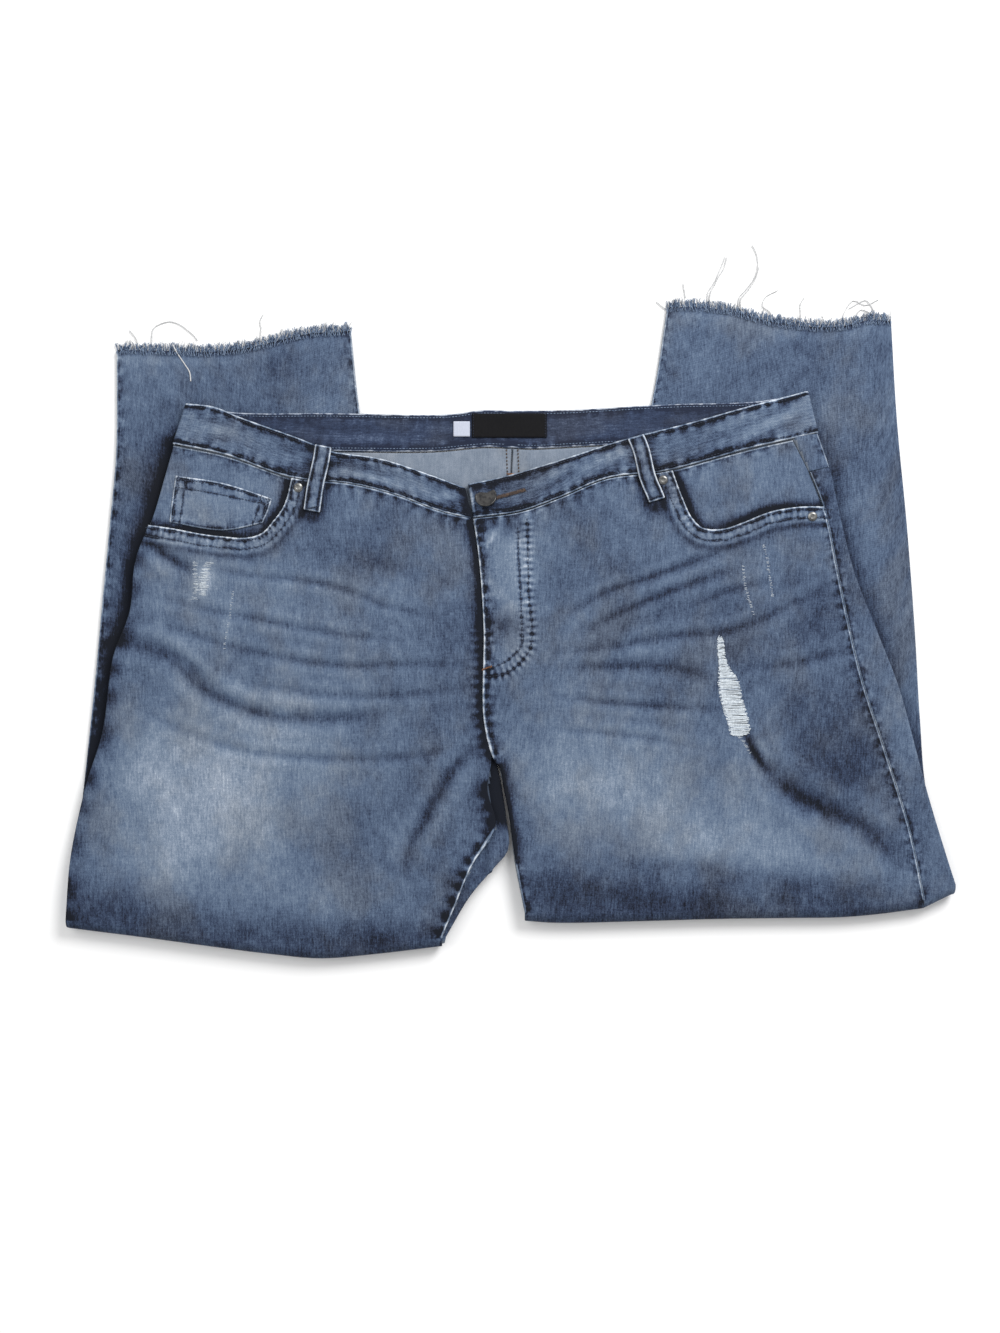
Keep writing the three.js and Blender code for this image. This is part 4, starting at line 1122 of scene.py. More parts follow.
def top_relief(side, x, y):
    """Height and tone of all that marks a front panel: creases, puckers, turned-in edges, painted shade and
    highlights.
    """
    height, tone = crease_at(x, y)
    for points, reach, rise, pitch, shade in PUCKERED[side]:
        ripple = pucker(*nearest(x, y, coarse(points)), reach, 1.0, pitch)
        height, tone = height + rise * ripple, tone + shade * ripple
    opening = distance(x, y, coarse(OPENINGS[side]))
    height += 0.5 * bell(opening, 3.0) + 0.3 * bell(opening - 6.5, 2.2)
    tone += 0.14 * bell(opening - 6.0, 2.4) + 0.13 * bell(opening - 12, 1.6)
    tone -= 0.16 * bell(opening - 16, 3.0) - 0.16 * bell(opening, 1.2)
    tone -= LOOP_SHADE * loop_shade(x, y)
    fly = distance(x, y, coarse(FLY))
    if side == "left":
        seam = distance(x, y, SEAM_LEFT.line)
        height += 0.6 * bell(seam, 3.5)
        height += 0.9 * smooth(-22, -15, -x) * smooth(-68, -58, y)
        tone += 0.06 * smooth(-20, -16, -x) * smooth(-68, -58, y)
        inseam = distance(x, y, coarse(LEFT["inseam"]))
        # painted shade on the left leg's inner edge, up in the crotch
        tone -= 0.7 * np.exp(-inseam / 3.6) * smooth(-234, -212, y)
        # a painted highlight on the fly's edge, and a darker band a little way in
        tone += 0.26 * bell(fly, 1.7) - 0.16 * bell(fly - 5, 2.2)
    else:
        # painted shadow of the fly, which laps over the right panel
        tone -= 0.75 * np.exp(-fly / 4.0)
        outer, along = nearest(x, y, coarse(RIGHT["side"]))
        # painted shade where the right side rolls under, uneven along it
        tone -= 0.24 * bell(outer, 9.0) * (0.55 + 0.45 * np.sin(along / 5.1 + np.sin(along / 17)))
        inseam, along = nearest(x, y, coarse(RIGHT["inseam"]))
        tone += 0.45 * bell(inseam, 1.8) * smooth(-198, -214, y)
        # painted shade beside the inseam, up in the crotch
        tone -= 0.62 * np.exp(-inseam / 4.2) * smooth(-206, -190, y)
        tone -= 0.34 * bell(inseam, 9.0) * (0.5 + 0.5 * np.sin(along / 2.1 + np.sin(along / 13)))
    return height * smooth(0, 30, above_fold(x, y)), tone


def front_top(x, y):
    """The upper face of the front panels."""
    x, y = np.atleast_1d(np.asarray(x, float)), np.atleast_1d(np.asarray(y, float))
    left = x > edge_x(FLY, y)
    relief = np.where(left, top_relief("left", x, y)[0], top_relief("right", x, y)[0])
    return front_height(x, y) + relief + WALL / 2


# ------------------------------------------------------------------ Geometry Nodes: stitches and threads
class GeometryTree(Tree):
    """A Geometry Nodes tree with named inputs, and short calls for its nodes."""

    def __init__(self, name, inputs):
        self.tree = bpy.data.node_groups.new(name, "GeometryNodeTree")
        self.tree.interface.new_socket("Geometry", in_out="INPUT", socket_type="NodeSocketGeometry")
        for label, kind, value in inputs:
            socket = self.tree.interface.new_socket(label, in_out="INPUT", socket_type=kind)
            if value is not None:
                socket.default_value = value
        self.tree.interface.new_socket("Geometry", in_out="OUTPUT", socket_type="NodeSocketGeometry")
        super().__init__(self.tree)
        self.given = self.nodes.new("NodeGroupInput").outputs
        self.result = self.nodes.new("NodeGroupOutput").inputs["Geometry"]

    def add(self, kind, inputs=(), **settings):
        node = self.nodes.new(kind)
        for key, value in settings.items():
            setattr(node, key, value)
        for key, value in dict(inputs).items():
            self.put(node.inputs[key], value)
        return node

    def out(self, kind, inputs=(), **settings):
        """The first output of a new node."""
        return self.add(kind, inputs, **settings).outputs[0]

    def vector(self, x, y, z):
        return self.out("ShaderNodeCombineXYZ", {"X": x, "Y": y, "Z": z})

    def random(self, low, high, seed):
        node = self.add("FunctionNodeRandomValue", data_type="FLOAT")
        self.put(node.inputs[2], low)
        self.put(node.inputs[3], high)
        self.put(node.inputs["Seed"], seed)
        return node.outputs[1]

    def sampled_lines(self, mode, label):
        """The piece's edges as curves, with points by length or by count."""
        line = self.out("GeometryNodeMeshToCurve", {"Mesh": self.given["Geometry"]})
        inputs = {"Curve": line, mode.title(): self.given[label]}
        return self.out("GeometryNodeResampleCurve", inputs, mode=mode)

    def wander(self, scale):
        """A vector about zero that changes smoothly from place to place."""
        noise = self.add("ShaderNodeTexNoise", {"Scale": scale, "Detail": 1.0})
        off = self.add("ShaderNodeVectorMath", {0: noise.outputs["Color"]}, operation="SUBTRACT")
        off.inputs[1].default_value = (0.5, 0.5, 0.5)
        return off.outputs[0]

    def tube(self, lines, sides):
        """A closed tube of the given thickness along each curve."""
        ring = self.out("GeometryNodeCurvePrimitiveCircle", {"Resolution": sides, "Radius": 0.5})
        size = self.vector(*[self.given["Thickness"]] * 3)
        ring = self.out("GeometryNodeTransform", {"Geometry": ring, "Scale": size})
        return self.out("GeometryNodeCurveToMesh", {"Curve": lines, "Profile Curve": ring, "Fill Caps": True})

    def finish(self, geometry):
        real = self.out("GeometryNodeRealizeInstances", {"Geometry": geometry})
        soft = self.out("GeometryNodeSetShadeSmooth", {"Geometry": real})
        done = self.out("GeometryNodeSetMaterial", {"Geometry": soft, "Material": self.given["Material"]})
        self.put(self.result, done)
        return self.tree


MATERIAL_INPUT = ("Material", "NodeSocketMaterial", None)


def stitch_tree():
    """A stitch at every step of each line: an oval bead along the line."""
    g = GeometryTree("stitches", [
        ("Pitch", "NodeSocketFloat", 0.0028),
        ("Length", "NodeSocketFloat", 0.0021),
        ("Thickness", "NodeSocketFloat", 0.0007),
        MATERIAL_INPUT,
    ])
    line = g.sampled_lines("LENGTH", "Pitch")
    bead = g.out("GeometryNodeMeshUVSphere", {"Segments": 6, "Rings": 4, "Radius": 0.5})
    tangent = g.out("GeometryNodeInputTangent")
    turn = g.out("FunctionNodeAlignRotationToVector", {"Vector": tangent}, axis="Z")
    length = g.math("MULTIPLY", g.given["Length"], g.random(0.85, 1.1, 7))
    size = g.vector(g.given["Thickness"], g.given["Thickness"], length)
    beads = g.out("GeometryNodeInstanceOnPoints", {
        "Points": line, "Instance": bead, "Rotation": turn, "Scale": size,
    })
    return g.finish(beads)


def thread_tree():
    """A round thread along each line, with a slight wander."""
    g = GeometryTree("threads", [
        ("Thickness", "NodeSocketFloat", 0.0005),
        ("Wander", "NodeSocketFloat", 0.0002),
        ("Step", "NodeSocketFloat", 0.0015),
        MATERIAL_INPUT,
    ])
    line = g.sampled_lines("LENGTH", "Step")
    push = g.add("ShaderNodeVectorMath", {0: g.wander(260.0)}, operation="SCALE")
    g.put(push.inputs["Scale"], g.given["Wander"])
    line = g.out("GeometryNodeSetPosition", {"Geometry": line, "Offset": push.outputs[0]})
    return g.finish(g.tube(line, 5))


def fringe_tree():
    """Loose warp ends standing out from a hem line, each bent its own way."""
    g = GeometryTree("fringe", [
        ("Count", "NodeSocketInt", 300),
        ("Length", "NodeSocketFloat", 0.011),
        ("Thickness", "NodeSocketFloat", 0.0005),
        ("Spread", "NodeSocketFloat", 0.45),
        ("Bend", "NodeSocketFloat", 0.006),
        ("Lift", "NodeSocketFloat", 0.001),
        ("Seed", "NodeSocketInt", 1),
        MATERIAL_INPUT,
    ])

    def random(low, high, key):
        return g.random(low, high, g.math("ADD", g.given["Seed"], float(key)))

    line = g.sampled_lines("COUNT", "Count")
    shift = g.vector(random(-0.0012, 0.0012, 1), random(-0.0014, 0.0002, 2),
                     g.math("MULTIPLY", random(-1.0, 1.0, 3), g.given["Lift"]))
    line = g.out("GeometryNodeSetPosition", {"Geometry": line, "Offset": shift})
    strand = g.out("GeometryNodeCurvePrimitiveLine", {"Start": (0, 0, 0), "End": (0, 1, 0)})
    strand = g.out("GeometryNodeResampleCurve", {"Curve": strand, "Count": 7}, mode="COUNT")
    share = g.add("GeometryNodeSplineParameter").outputs["Factor"]
    kept = g.out("GeometryNodeStoreNamedAttribute", {"Geometry": strand, "Name": "share", "Value": share},
                 data_type="FLOAT", domain="POINT")
    lean = g.math("MULTIPLY", random(-1.0, 1.0, 4), g.given["Spread"])
    length = g.math("MULTIPLY", g.given["Length"], random(0.45, 1.0, 5))
    strands = g.out("GeometryNodeInstanceOnPoints", {
        "Points": line, "Instance": kept, "Rotation": g.vector(0.0, 0.0, lean),
        "Scale": g.vector(length, length, length),
    })
    strands = g.out("GeometryNodeRealizeInstances", {"Geometry": strands})
    share = g.add("GeometryNodeInputNamedAttribute", {"Name": "share"}, data_type="FLOAT")
    reach = g.math("MULTIPLY", share.outputs["Attribute"], g.given["Bend"])
    push = g.add("ShaderNodeVectorMath", {0: g.wander(170.0)}, operation="MULTIPLY")
    g.put(push.inputs[1], g.vector(reach, reach, g.math("MULTIPLY", reach, 0.12)))
    strands = g.out("GeometryNodeSetPosition", {"Geometry": strands, "Offset": push.outputs[0]})
    return g.finish(g.tube(strands, 3))


STITCHES = stitch_tree()
THREAD_LINES = thread_tree()
FRINGE = fringe_tree()


def line_object(name, lines):
    """Open lines in mm as one mesh of edges."""
    verts, edges = [], []
    for line in lines:
        start = len(verts)
        verts.extend((np.asarray(line) * MM).tolist())
        edges.extend((k, k + 1) for k in range(start, len(verts) - 1))
    mesh = bpy.data.meshes.new(name)
    mesh.from_pydata(verts, edges, [])
    piece = bpy.data.objects.new(name, mesh)
    bpy.context.collection.objects.link(piece)
    return piece


def made_plain(piece, tree, **values):
    """Runs a tree on a piece and keeps what it makes as the piece's own mesh."""
    modifier = piece.modifiers.new(tree.name, "NODES")
    modifier.node_group = tree
    sockets = {s.name: s.identifier for s in tree.interface.items_tree
               if s.item_type == "SOCKET" and s.in_out == "INPUT"}
    for key, value in values.items():
        modifier[sockets[key]] = value
    made = bpy.data.meshes.new_from_object(piece.evaluated_get(bpy.context.evaluated_depsgraph_get()))
    piece.modifiers.clear()
    piece.data = made
    return piece


MOST_CORNERS = 60  # a line with more points than this is followed as it is, and not smoothed


def on_surface(line, height, above=0.0, step=2.0):
    """A line in the plane laid on a surface, with points every step."""
    line = np.asarray(line, float)
    if len(line) < MOST_CORNERS:
        at = spline(line)
        flat = at(np.linspace(0, 1, max(3, int(spline(line, 2).length / step))))
    else:
        along = np.concatenate([[0], np.cumsum(np.linalg.norm(np.diff(line, axis=0), axis=1))])
        shares = np.arange(0, along[-1], step)
        flat = np.stack([np.interp(shares, along, line[:, k]) for k in range(2)], -1)
    return np.column_stack([flat, height(flat[:, 0], flat[:, 1]) + above])


def sewn_rows(name, lines, material, pitch=2.8, length=2.2, thickness=0.75, slot="denim"):
    piece = made_plain(line_object(name, lines), STITCHES, Pitch=pitch * MM, Length=length * MM,
                       Thickness=thickness * MM, Material=material)
    settle(piece, slot)


def loose_threads(name, lines, material, thickness=0.55, wander=0.3, slot="fringe", nodes=()):
    piece = made_plain(line_object(name, lines), THREAD_LINES, Thickness=thickness * MM,
                       Wander=wander * MM, Material=material)
    settle(piece, slot, *nodes)


# ------------------------------------------------------------------ the four leg panels
front_panel("right", FRONT_RIGHT, CALF_RIGHT, 0.03, -0.05,
            [spline(RIGHT["front_waist"]), spline(RIGHT["inseam"][1:]), spline(POCKET_RIGHT)],
            [HOLE_RIGHT], (True, False))
# On the left panel the fly counts as a broad seam, which paints a highlight along its edge.
front_panel("left", FRONT_LEFT, CALF_FRONT_LEFT, -0.06, 0.05,
            [spline(LEFT["front_waist"]), SEAM_LEFT, spline(LEFT["inseam"][3:]), spline(POCKET_LEFT)],
            [HOLE_LEFT, RIP_EDGE], (False, True), [spline(FLY).line])

# Where the yokes end, as shares of the back panels' length from the waist.
YOKE_AT_SIDE, YOKE_AT_CENTRE, YOKE_GAP, YOKE_TOP = 0.075, 0.15, 0.0012, 0.0008
plain_columns = spread(rows_of(PANEL_WIDTH, BACK_SPACING), PANEL_CROWD)
back_panel("right", BACK_RIGHT, CALF_RIGHT, 0.05, -0.04, Columns(plain_columns),
           [spline(RIGHT["calf_side"]), spline(RIGHT["calf_inseam"])], (None, None),
           np.zeros(len(plain_columns), bool), (True, False))

# The left back panel comes round the side: a strip on top, a roll over the edge, then the part beneath.
ROLL_SHIFT = -1.3
STRIP_STEPS, ROLL_STEPS = 10, 9
roll = np.linspace(0, np.pi, ROLL_STEPS)
beneath = plain_columns[plain_columns > 0.012]
strip_columns = Columns(
    np.concatenate([np.zeros(STRIP_STEPS + ROLL_STEPS), beneath]),
    level=np.concatenate([np.ones(STRIP_STEPS), 0.5 + 0.5 * np.cos(roll), np.full(len(beneath), np.nan)]),
    strip=np.concatenate([np.linspace(0, 0.95, STRIP_STEPS), np.full(ROLL_STEPS + len(beneath), np.nan)]),
    shift=np.concatenate([np.zeros(STRIP_STEPS), ROLL_SHIFT * (1 - np.sin(roll)), np.zeros(len(beneath))]),
)
back_panel("left", BACK_LEFT, CALF_LEFT, -0.08, 0.04, strip_columns,
           [spline(LEFT["calf_inseam"]), SEAM_LEFT], (SEAM_LEFT, CALF_SEAM_LEFT),
           np.arange(len(strip_columns.across)) < STRIP_STEPS + ROLL_STEPS, (False, True))


# ------------------------------------------------------------------ flat pieces on a surface
def surface_grid(place, rows, columns, height, crowd=0.4):
    """A patch of cloth laid on a surface; height gives its middle."""
    u, v = np.meshgrid(spread(columns, crowd), spread(rows, crowd))
    xy = place(u, v)
    return np.dstack([xy, height(xy[..., 0], xy[..., 1])])


def rounded_edges(points, drop=0.35, reach=2.0, sides=(True, True, True, True)):
    """Lets the four edges of a patch down a little."""
    width = np.concatenate([np.zeros((points.shape[0], 1)),
                            np.cumsum(np.linalg.norm(np.diff(points, axis=1), axis=2), axis=1)], axis=1)
    length = np.concatenate([np.zeros((1, points.shape[1])),
                             np.cumsum(np.linalg.norm(np.diff(points, axis=0), axis=2), axis=0)], axis=0)
    ways = (width, width[:, -1:] - width, length, length[-1:] - length)
    down = sum(edge_drop(way, reach) for way, wanted in zip(ways, sides) if wanted)
    points[..., 2] -= drop * np.minimum(down, 1.2)
    return points


def flat_piece(name, node, points, materials, thickness, lines=(), rests_on=(), slot="denim", flip=False,
               lean=0.0, tone=0.0, seams=None, **extra):
    """A laid sheet with its map, worn along the seams, which are its four edges where none are given."""
    x, y = points[..., 0], points[..., 1]
    c, s = math.cos(lean), math.sin(lean)
    uv = np.dstack([c * x + s * y, c * y - s * x]) * MM
    if seams is None:
        seams = [points[0, :, :2], points[-1, :, :2], points[:, 0, :2], points[:, -1, :2]]
    values = dict(tone=tone + np.zeros(x.shape), seam=seam_values(points, seams),
                  row=seam_values(points, lines) if len(lines) else np.full(x.shape, NO_ROW))
    piece = shell(name, points, materials, thickness=thickness, uv=uv, values=values, flip=flip, **extra)
    settle(piece, slot, node)


YOKE_CELLS = 22


def yoke(side, base):
    """The yoke lies on the seat, and on the left its end comes round the side onto the front."""
    def place(u, v):
        return base(u, mix(YOKE_TOP, mix(YOKE_AT_SIDE, YOKE_AT_CENTRE, u), v))

    grid = surface_grid(place, YOKE_CELLS, rows_of(290), back_height)
    away = np.linalg.norm(grid[..., :2] - grid[:, :1, :2], axis=2)
    grid[..., 2] += edge_drop(away, 8) * (SEAT_PITCH - side_pitch(grid[..., 1])) / 2
    grid[..., 2] += 0.35 * np.sin(grid[..., 0] / 9) * np.sin(grid[..., 1] / 11)
    x, y = grid[..., 0], grid[..., 1]
    strip = np.zeros(x.shape)
    if side == "left":
        strip = smooth(-0.5, 1.5, x - edge_x(LEFT["side_seam"], y) - SEAM)
        top = front_height(x, y) - 2.4 * edge_drop(away, 3.0)
        grid[..., 2] = mix(grid[..., 2], top, strip)
    fill = WALL / 2 + strip * (grid[..., 2] - back_height(x, y))
    flat_piece(f"{side}_yoke", f"back_yoke_{side}", grid, CLOTH_TURNED, WALL,
               rests_on=[f"{side}_back_panel"], flip=side == "left", depth=fill, turned=strip[1:, 1:] > 0.5,
               seams=[grid[:, 0, :2]])


# Where the back pockets lie, as shares of the back panels' width and length, and the depth of their points.
BACK_POCKET_ACROSS, BACK_POCKET_DOWN, BACK_POCKET_POINT = (0.26, 0.78), (0.21, 0.49), 0.035


def under_seat(x, y):
    return back_height(x, y) - WALL / 2 - SEAM - THIN_WALL / 2


def back_pocket(side, base):
    def place(u, v):
        bottom = BACK_POCKET_DOWN[1] + BACK_POCKET_POINT * (1 - np.abs(2 * u - 1))
        return base(mix(*BACK_POCKET_ACROSS, u), mix(BACK_POCKET_DOWN[0], bottom, v))

    grid = surface_grid(place, 30, 40, under_seat)
    flat_piece(f"{side}_back_pocket", f"back_pocket_{side}", grid, CLOTH_TURNED, THIN_WALL,
               rests_on=[f"{side}_back_panel"], flip=side == "left")


for make in (yoke, back_pocket):
    make("right", BACK_RIGHT)
    make("left", BACK_LEFT)


def facing_height(x, y):
    return front_height(x, y) - FACING_DROP


FACING_RIGHT = patch(
    [(-293, 134.3), (-300.6, 107), (-308.6, 79.4), (-317, 56)],
    [(-181, 103.4), (-187, 80), (-207, 53)],
    [(-293, 134.3), (-247.5, 124.7), (-192.5, 105.7), (-181, 103.4)],
    [(-317, 56), (-270, 48.5), (-232, 45), (-207, 53)])
FACING_LEFT = patch(
    [(245.4, 138.8), (260.8, 107.6), (272.2, 77.4), (273.6, 71)],
    [(131, 109.8), (141, 84), (152, 60)],
    [(245.4, 138.8), (209.2, 130.7), (150, 114.6), (131, 109.8)],
    [(273.6, 71), (226, 68), (193, 53), (152, 60)])
COIN_POCKET = patch(
    [(-291, 108), (-294, 88), (-296.5, 67.6)],
    [(-207.5, 87.9), (-211, 77), (-215.5, 67)],
    [(-291, 108), (-250, 101.5), (-207.5, 87.9)],
    [(-296.5, 67.6), (-250, 60.5), (-215.5, 67)])
COIN_SIDES = [[COIN_POCKET(u, v) for v in np.linspace(0.02, 0.98, 30)] for u in (0.03, 0.11, 0.89, 0.97)]
COIN_TOPS = [[COIN_POCKET(u, v) for u in np.linspace(0.02, 0.98, 40)] for v in (0.06, 0.24)]
COIN_ROWS = [np.array(line) for line in COIN_SIDES + COIN_TOPS]
MOUTH_REACH = 6.0  # how far the shade inside a pocket's mouth reaches


def on_facing(x, y):
    return facing_height(x, y) + THIN_WALL + SEAM


def pocket_facing(side, base):
    grid = surface_grid(base, rows_of(80), rows_of(115), facing_height)
    x, y = grid[..., 0], grid[..., 1]
    away, along = nearest(x, y, coarse(OPENINGS[side]))
    grid[..., 2] += 0.25 * np.sin(x / 13 + y / 17)
    # painted shadow inside the pocket's mouth
    tone = 0.03 - 0.62 * bell(away, MOUTH_REACH) * (0.75 + 0.25 * np.sin(along / 14))
    flat_piece(f"{side}_pocket_facing", f"pocket_facing_{side}", grid, CLOTH_SIDES, THIN_WALL,
               rests_on=[f"{side}_back_panel"], flip=side == "left", lean=0.05, tone=tone,
               seams=[grid[0, :, :2]])


def coin_pocket():
    grid = rounded_edges(surface_grid(COIN_POCKET, rows_of(42), rows_of(85), on_facing))
    x, y = grid[..., 0], grid[..., 1]
    grid[..., 2] += pucker(*nearest(x, y, np.array(COIN_TOPS[0])), 6, 0.2, 6)
    # painted shadow under the pocket's mouth
    mouth = distance(x, y, coarse(POCKET_RIGHT))
    flat_piece("coin_pocket", "coin_pocket_right", grid, CLOTH_SIDES, THIN_WALL,
               lines=COIN_ROWS, rests_on=["right_pocket_facing"],
               lean=0.05, tone=0.10 - 0.5 * bell(mouth, MOUTH_REACH))


pocket_facing("right", FACING_RIGHT)
pocket_facing("left", FACING_LEFT)
coin_pocket()


# ------------------------------------------------------------------ waistband
# Lower and upper edges of the band, from the fly's right end round the back to its left end.
BAND_STRETCHES = [
    (reverse(RIGHT["front_waist"]), reverse(BAND_TOP["front_right"])),
    (RIGHT["back_waist"], BAND_TOP["back_right"]),
    (LEFT["back_waist"], reverse(BAND_TOP["back_left"])),
    (reverse(LEFT["front_waist"]), BAND_TOP["front_left"]),
]


def band_stretch(low, high, first, last):
    """Stations along the band, each from its lower to its upper edge."""
    low, high = spline(low), spline(high)
    count = rows_of(low.length)
    t = np.linspace(first, last, count + 1)
    return np.stack([low(t) + [0, BAND_CLEARANCE], high(t)], axis=1)


def band_turn(station, start, end, outward, count=10):
    """The strip turns over at a side, from one layer to the other."""
    angle = np.linspace(0, np.pi, count + 1)[:, None]
    x, y = station[:, 0], station[:, 1]
    a, b = start(x, y), end(x, y)
    across = x + outward * np.abs(a - b) / 2 * (np.sin(angle) - 1)
    return np.dstack([across, np.broadcast_to(y, across.shape), mix(a, b, (1 - np.cos(angle)) / 2)])


def raised(stations, height):
    """The stations at their height on a surface."""
    return np.dstack([stations, height(stations[..., 0], stations[..., 1])])


BAND_ROW = 2.6  # from the band's edges to its rows of stitches
BAND_RIPPLE = (12.0, 11.0)  # reach and pitch of the puckers along its edges
RIGHT_TURN = np.array([(-292.8, 135.4), (-281.4, 170.5)])
LEFT_TURN = np.array([(266.7, 144.9), (257.9, 181)])


def waistband():
    """One strip from fly end to fly end, turning over at both sides."""
    front, back = front_height, back_height
    stations = np.concatenate([
        raised(band_stretch(*BAND_STRETCHES[0], 0, 0.97), front),
        band_turn(RIGHT_TURN, front, back, -1),
        raised(band_stretch(*BAND_STRETCHES[1], 0.03, 1), back),
        raised(band_stretch(*BAND_STRETCHES[2], 0, 0.97), back)[1:],
        band_turn(LEFT_TURN, back, front, 1),
        raised(band_stretch(*BAND_STRETCHES[3], 0.03, 1), front),
    ])
    band = mix(stations[:, :1], stations[:, 1:], spread(BAND_COLUMNS, 0.6)[None, :, None])
    steps = np.linalg.norm(np.diff(band[:, 9], axis=0), axis=1)
    run = np.concatenate([[0], np.cumsum(steps)])[:, None]
    left_over = run[-1] - run
    across = np.linalg.norm(band - band[:, :1], axis=2)
    edge = np.minimum(across, across[:, -1:] - across)
    on_front = band[..., 2] > back(band[..., 0], band[..., 1]) + SEAT_PITCH / 2
    reach, pitch = BAND_RIPPLE
    ripple = pucker(edge, run, reach, 0.6, pitch) + 0.3 * bell(edge - 7, 4.0)
    band[..., 2] += np.where(on_front, ripple + 0.3 * np.sin(run / 17), 0.5 * ripple)
    streaks = np.sin(across / 2.6 + run / 19 + 1.3 * np.sin(run / 27))
    streaks *= 0.5 + 0.5 * np.sin(run / 15 + 2 * np.sin(run / 41))
    tone = 0.05 * np.sin(run / 31) + 0.07 * pucker(edge, run, reach, 1.0, pitch) + 0.11 * streaks
    tone += 0.12 * bell(edge, 1.8) + 0.06 * smooth(4, 9, edge) - 0.15 * bell(edge - 3.2, 1.5) - 0.03
    # painted shadow at the band's right end, under the left end that laps over it, and a darker stretch near
    # the left end
    tone -= 0.55 * np.exp(-run / 5.0) + 0.10 * bell(left_over - 45, 45)
    tone -= np.where(on_front, LOOP_SHADE * loop_shade(band[..., 0], band[..., 1]), 0)
    values = dict(tone=tone, seam=np.minimum(edge, left_over / 2) * MM, row=np.abs(edge - BAND_ROW) * MM)
    piece = shell("waistband_cloth", band, [BAND_DENIM, BAND_INSIDE], values=values, flip=True,
                  thickness=BAND_WALL - 1.1 * edge_drop(edge, 2.6),
                  uv=np.dstack([across, np.broadcast_to(run, across.shape)]) * MM)
    settle(piece, "denim", "waistband")


def band_rows(stretches, first, last, height, above):
    """A row of stitches along both edges of some stretches of the band."""
    rows = []
    for stretch in stretches:
        low, high = BAND_STRETCHES[stretch]
        t = np.linspace(first, last, 120)
        low, high = spline(low)(t) + [0, BAND_CLEARANCE], spline(high)(t)
        share = BAND_ROW / np.linalg.norm(high - low, axis=1)[:, None]
        rows += [on_surface(mix(low, high, k), height, BAND_WALL / 2 + above) for k in (share, 1 - share)]
    return rows


waistband()
sewn_rows("waistband_topstitch", band_rows((0, 3), 0.01, 0.96, front_height, 0.25), NAVY_THREAD)
sewn_rows("waistband_inside_stitch", band_rows((1, 2), 0.02, 0.98, back_height, 0.15), BLUE_THREAD,
          thickness=0.7)


# ------------------------------------------------------------------ belt loops
def on_band(x, y):
    return front_height(x, y) + BAND_WALL / 2 + SEAM + LOOP_WALL / 2 + 0.2


def under_band(x, y):
    return back_height(x, y) - BAND_WALL / 2 - SEAM - LOOP_WALL / 2 - 0.2


# Name, upper end, lower end, surface that it lies on, how much it twists.
LOOPS = [
    ("front_right", *FRONT_LOOPS[0], on_band, 0.4),
    ("front_left", *FRONT_LOOPS[1], on_band, 0.9),
    ("back_right", (-150, 162), (-152, 108), under_band, 0.1),
    ("back_centre", (2, 163), (0, 108), under_band, 0.1),
    ("back_left", (150, 168.5), (152, 114), under_band, 0.1),
]
LOOP_ROWS, LOOP_COLUMNS, LOOP_CROWD = 44, 12, 0.3
STITCHED_COLUMNS = (2, 10)


def belt_loop(name, top, bottom, height, sway):
    """One loop; returns the lines of its two rows of stitches, where it shows."""
    top, bottom = np.array(top, float), np.array(bottom, float)
    along = (bottom - top) / np.linalg.norm(bottom - top)
    side = np.array([-along[1], along[0]])

    def place(u, v):
        wander = sway * np.sin(v * 7.5)[..., None]
        return mix(top, bottom, v[..., None]) + side * (LOOP_WIDTH * (u[..., None] - 0.5) + wander)

    grid = surface_grid(place, LOOP_ROWS, LOOP_COLUMNS, height, LOOP_CROWD)
    u, v = np.meshgrid(spread(LOOP_COLUMNS, LOOP_CROWD), spread(LOOP_ROWS, LOOP_CROWD))
    stitched = []
    if height is on_band:
        grid[..., 2] += 0.55 * np.sin(np.pi * v) + 0.25 * np.sin(v * 24) * np.sin(np.pi * u) * sway
        grid = rounded_edges(grid, 0.5, 2.5)
        shares = np.linspace(0.03, 0.97, 60)
        for column in STITCHED_COLUMNS:
            line = np.stack([np.interp(shares, v[:, 0], grid[:, column, k]) for k in range(3)], -1)
            line[:, 2] += LOOP_WALL / 2 + 0.2
            stitched.append(line)
    off_centre = np.abs(u - 0.5)
    ridge = bell(off_centre, 0.14) * (0.6 + 0.4 * np.sin(40 * v))
    tone = 0.05 + 0.22 * bell(off_centre - 0.5, 0.08) - 0.26 * bell(off_centre - 0.32, 0.09) + 0.12 * ridge
    flat_piece(f"{name}_loop", f"belt_loop_{name}", grid, CLOTH_SIDES, LOOP_WALL, tone=tone,
               rests_on=["waistband_cloth"], flip=height is under_band)
    return stitched


loop_stitches = [line for loop in LOOPS for line in belt_loop(*loop)]
sewn_rows("belt_loop_stitches", loop_stitches, NAVY_THREAD, pitch=2.6, length=2.0, thickness=0.65)


# ------------------------------------------------------------------ labels inside the back of the band
def on_back_band(x, y):
    return back_height(x, y) + BAND_WALL / 2 + SEAM + THIN_WALL / 2


def label(name, node, centre, width, depth, material, slot):
    """A bare label; returns the lines of stitches at its two ends."""
    def place(u, v):
        return np.stack([centre[0] + width * (u - 0.5), centre[1] + depth * (0.5 - v)], -1)

    grid = surface_grid(place, 14, 30, on_back_band, 0.2)
    grid[..., 2] += 0.25 * np.sin(grid[..., 0] / 8)
    grid = rounded_edges(grid, 0.25, 1.5)
    flat_piece(name, node, grid, [material], THIN_WALL, rests_on=["waistband_cloth"], slot=slot)
    ends = [centre[0] + sign * (width / 2 - 1.2) for sign in (-1, 1)]
    low, high = centre[1] - depth / 2 + 1, centre[1] + depth / 2 - 1
    return [on_surface([(x, high), (x, low)], on_back_band, THIN_WALL / 2 + 0.2) for x in ends]


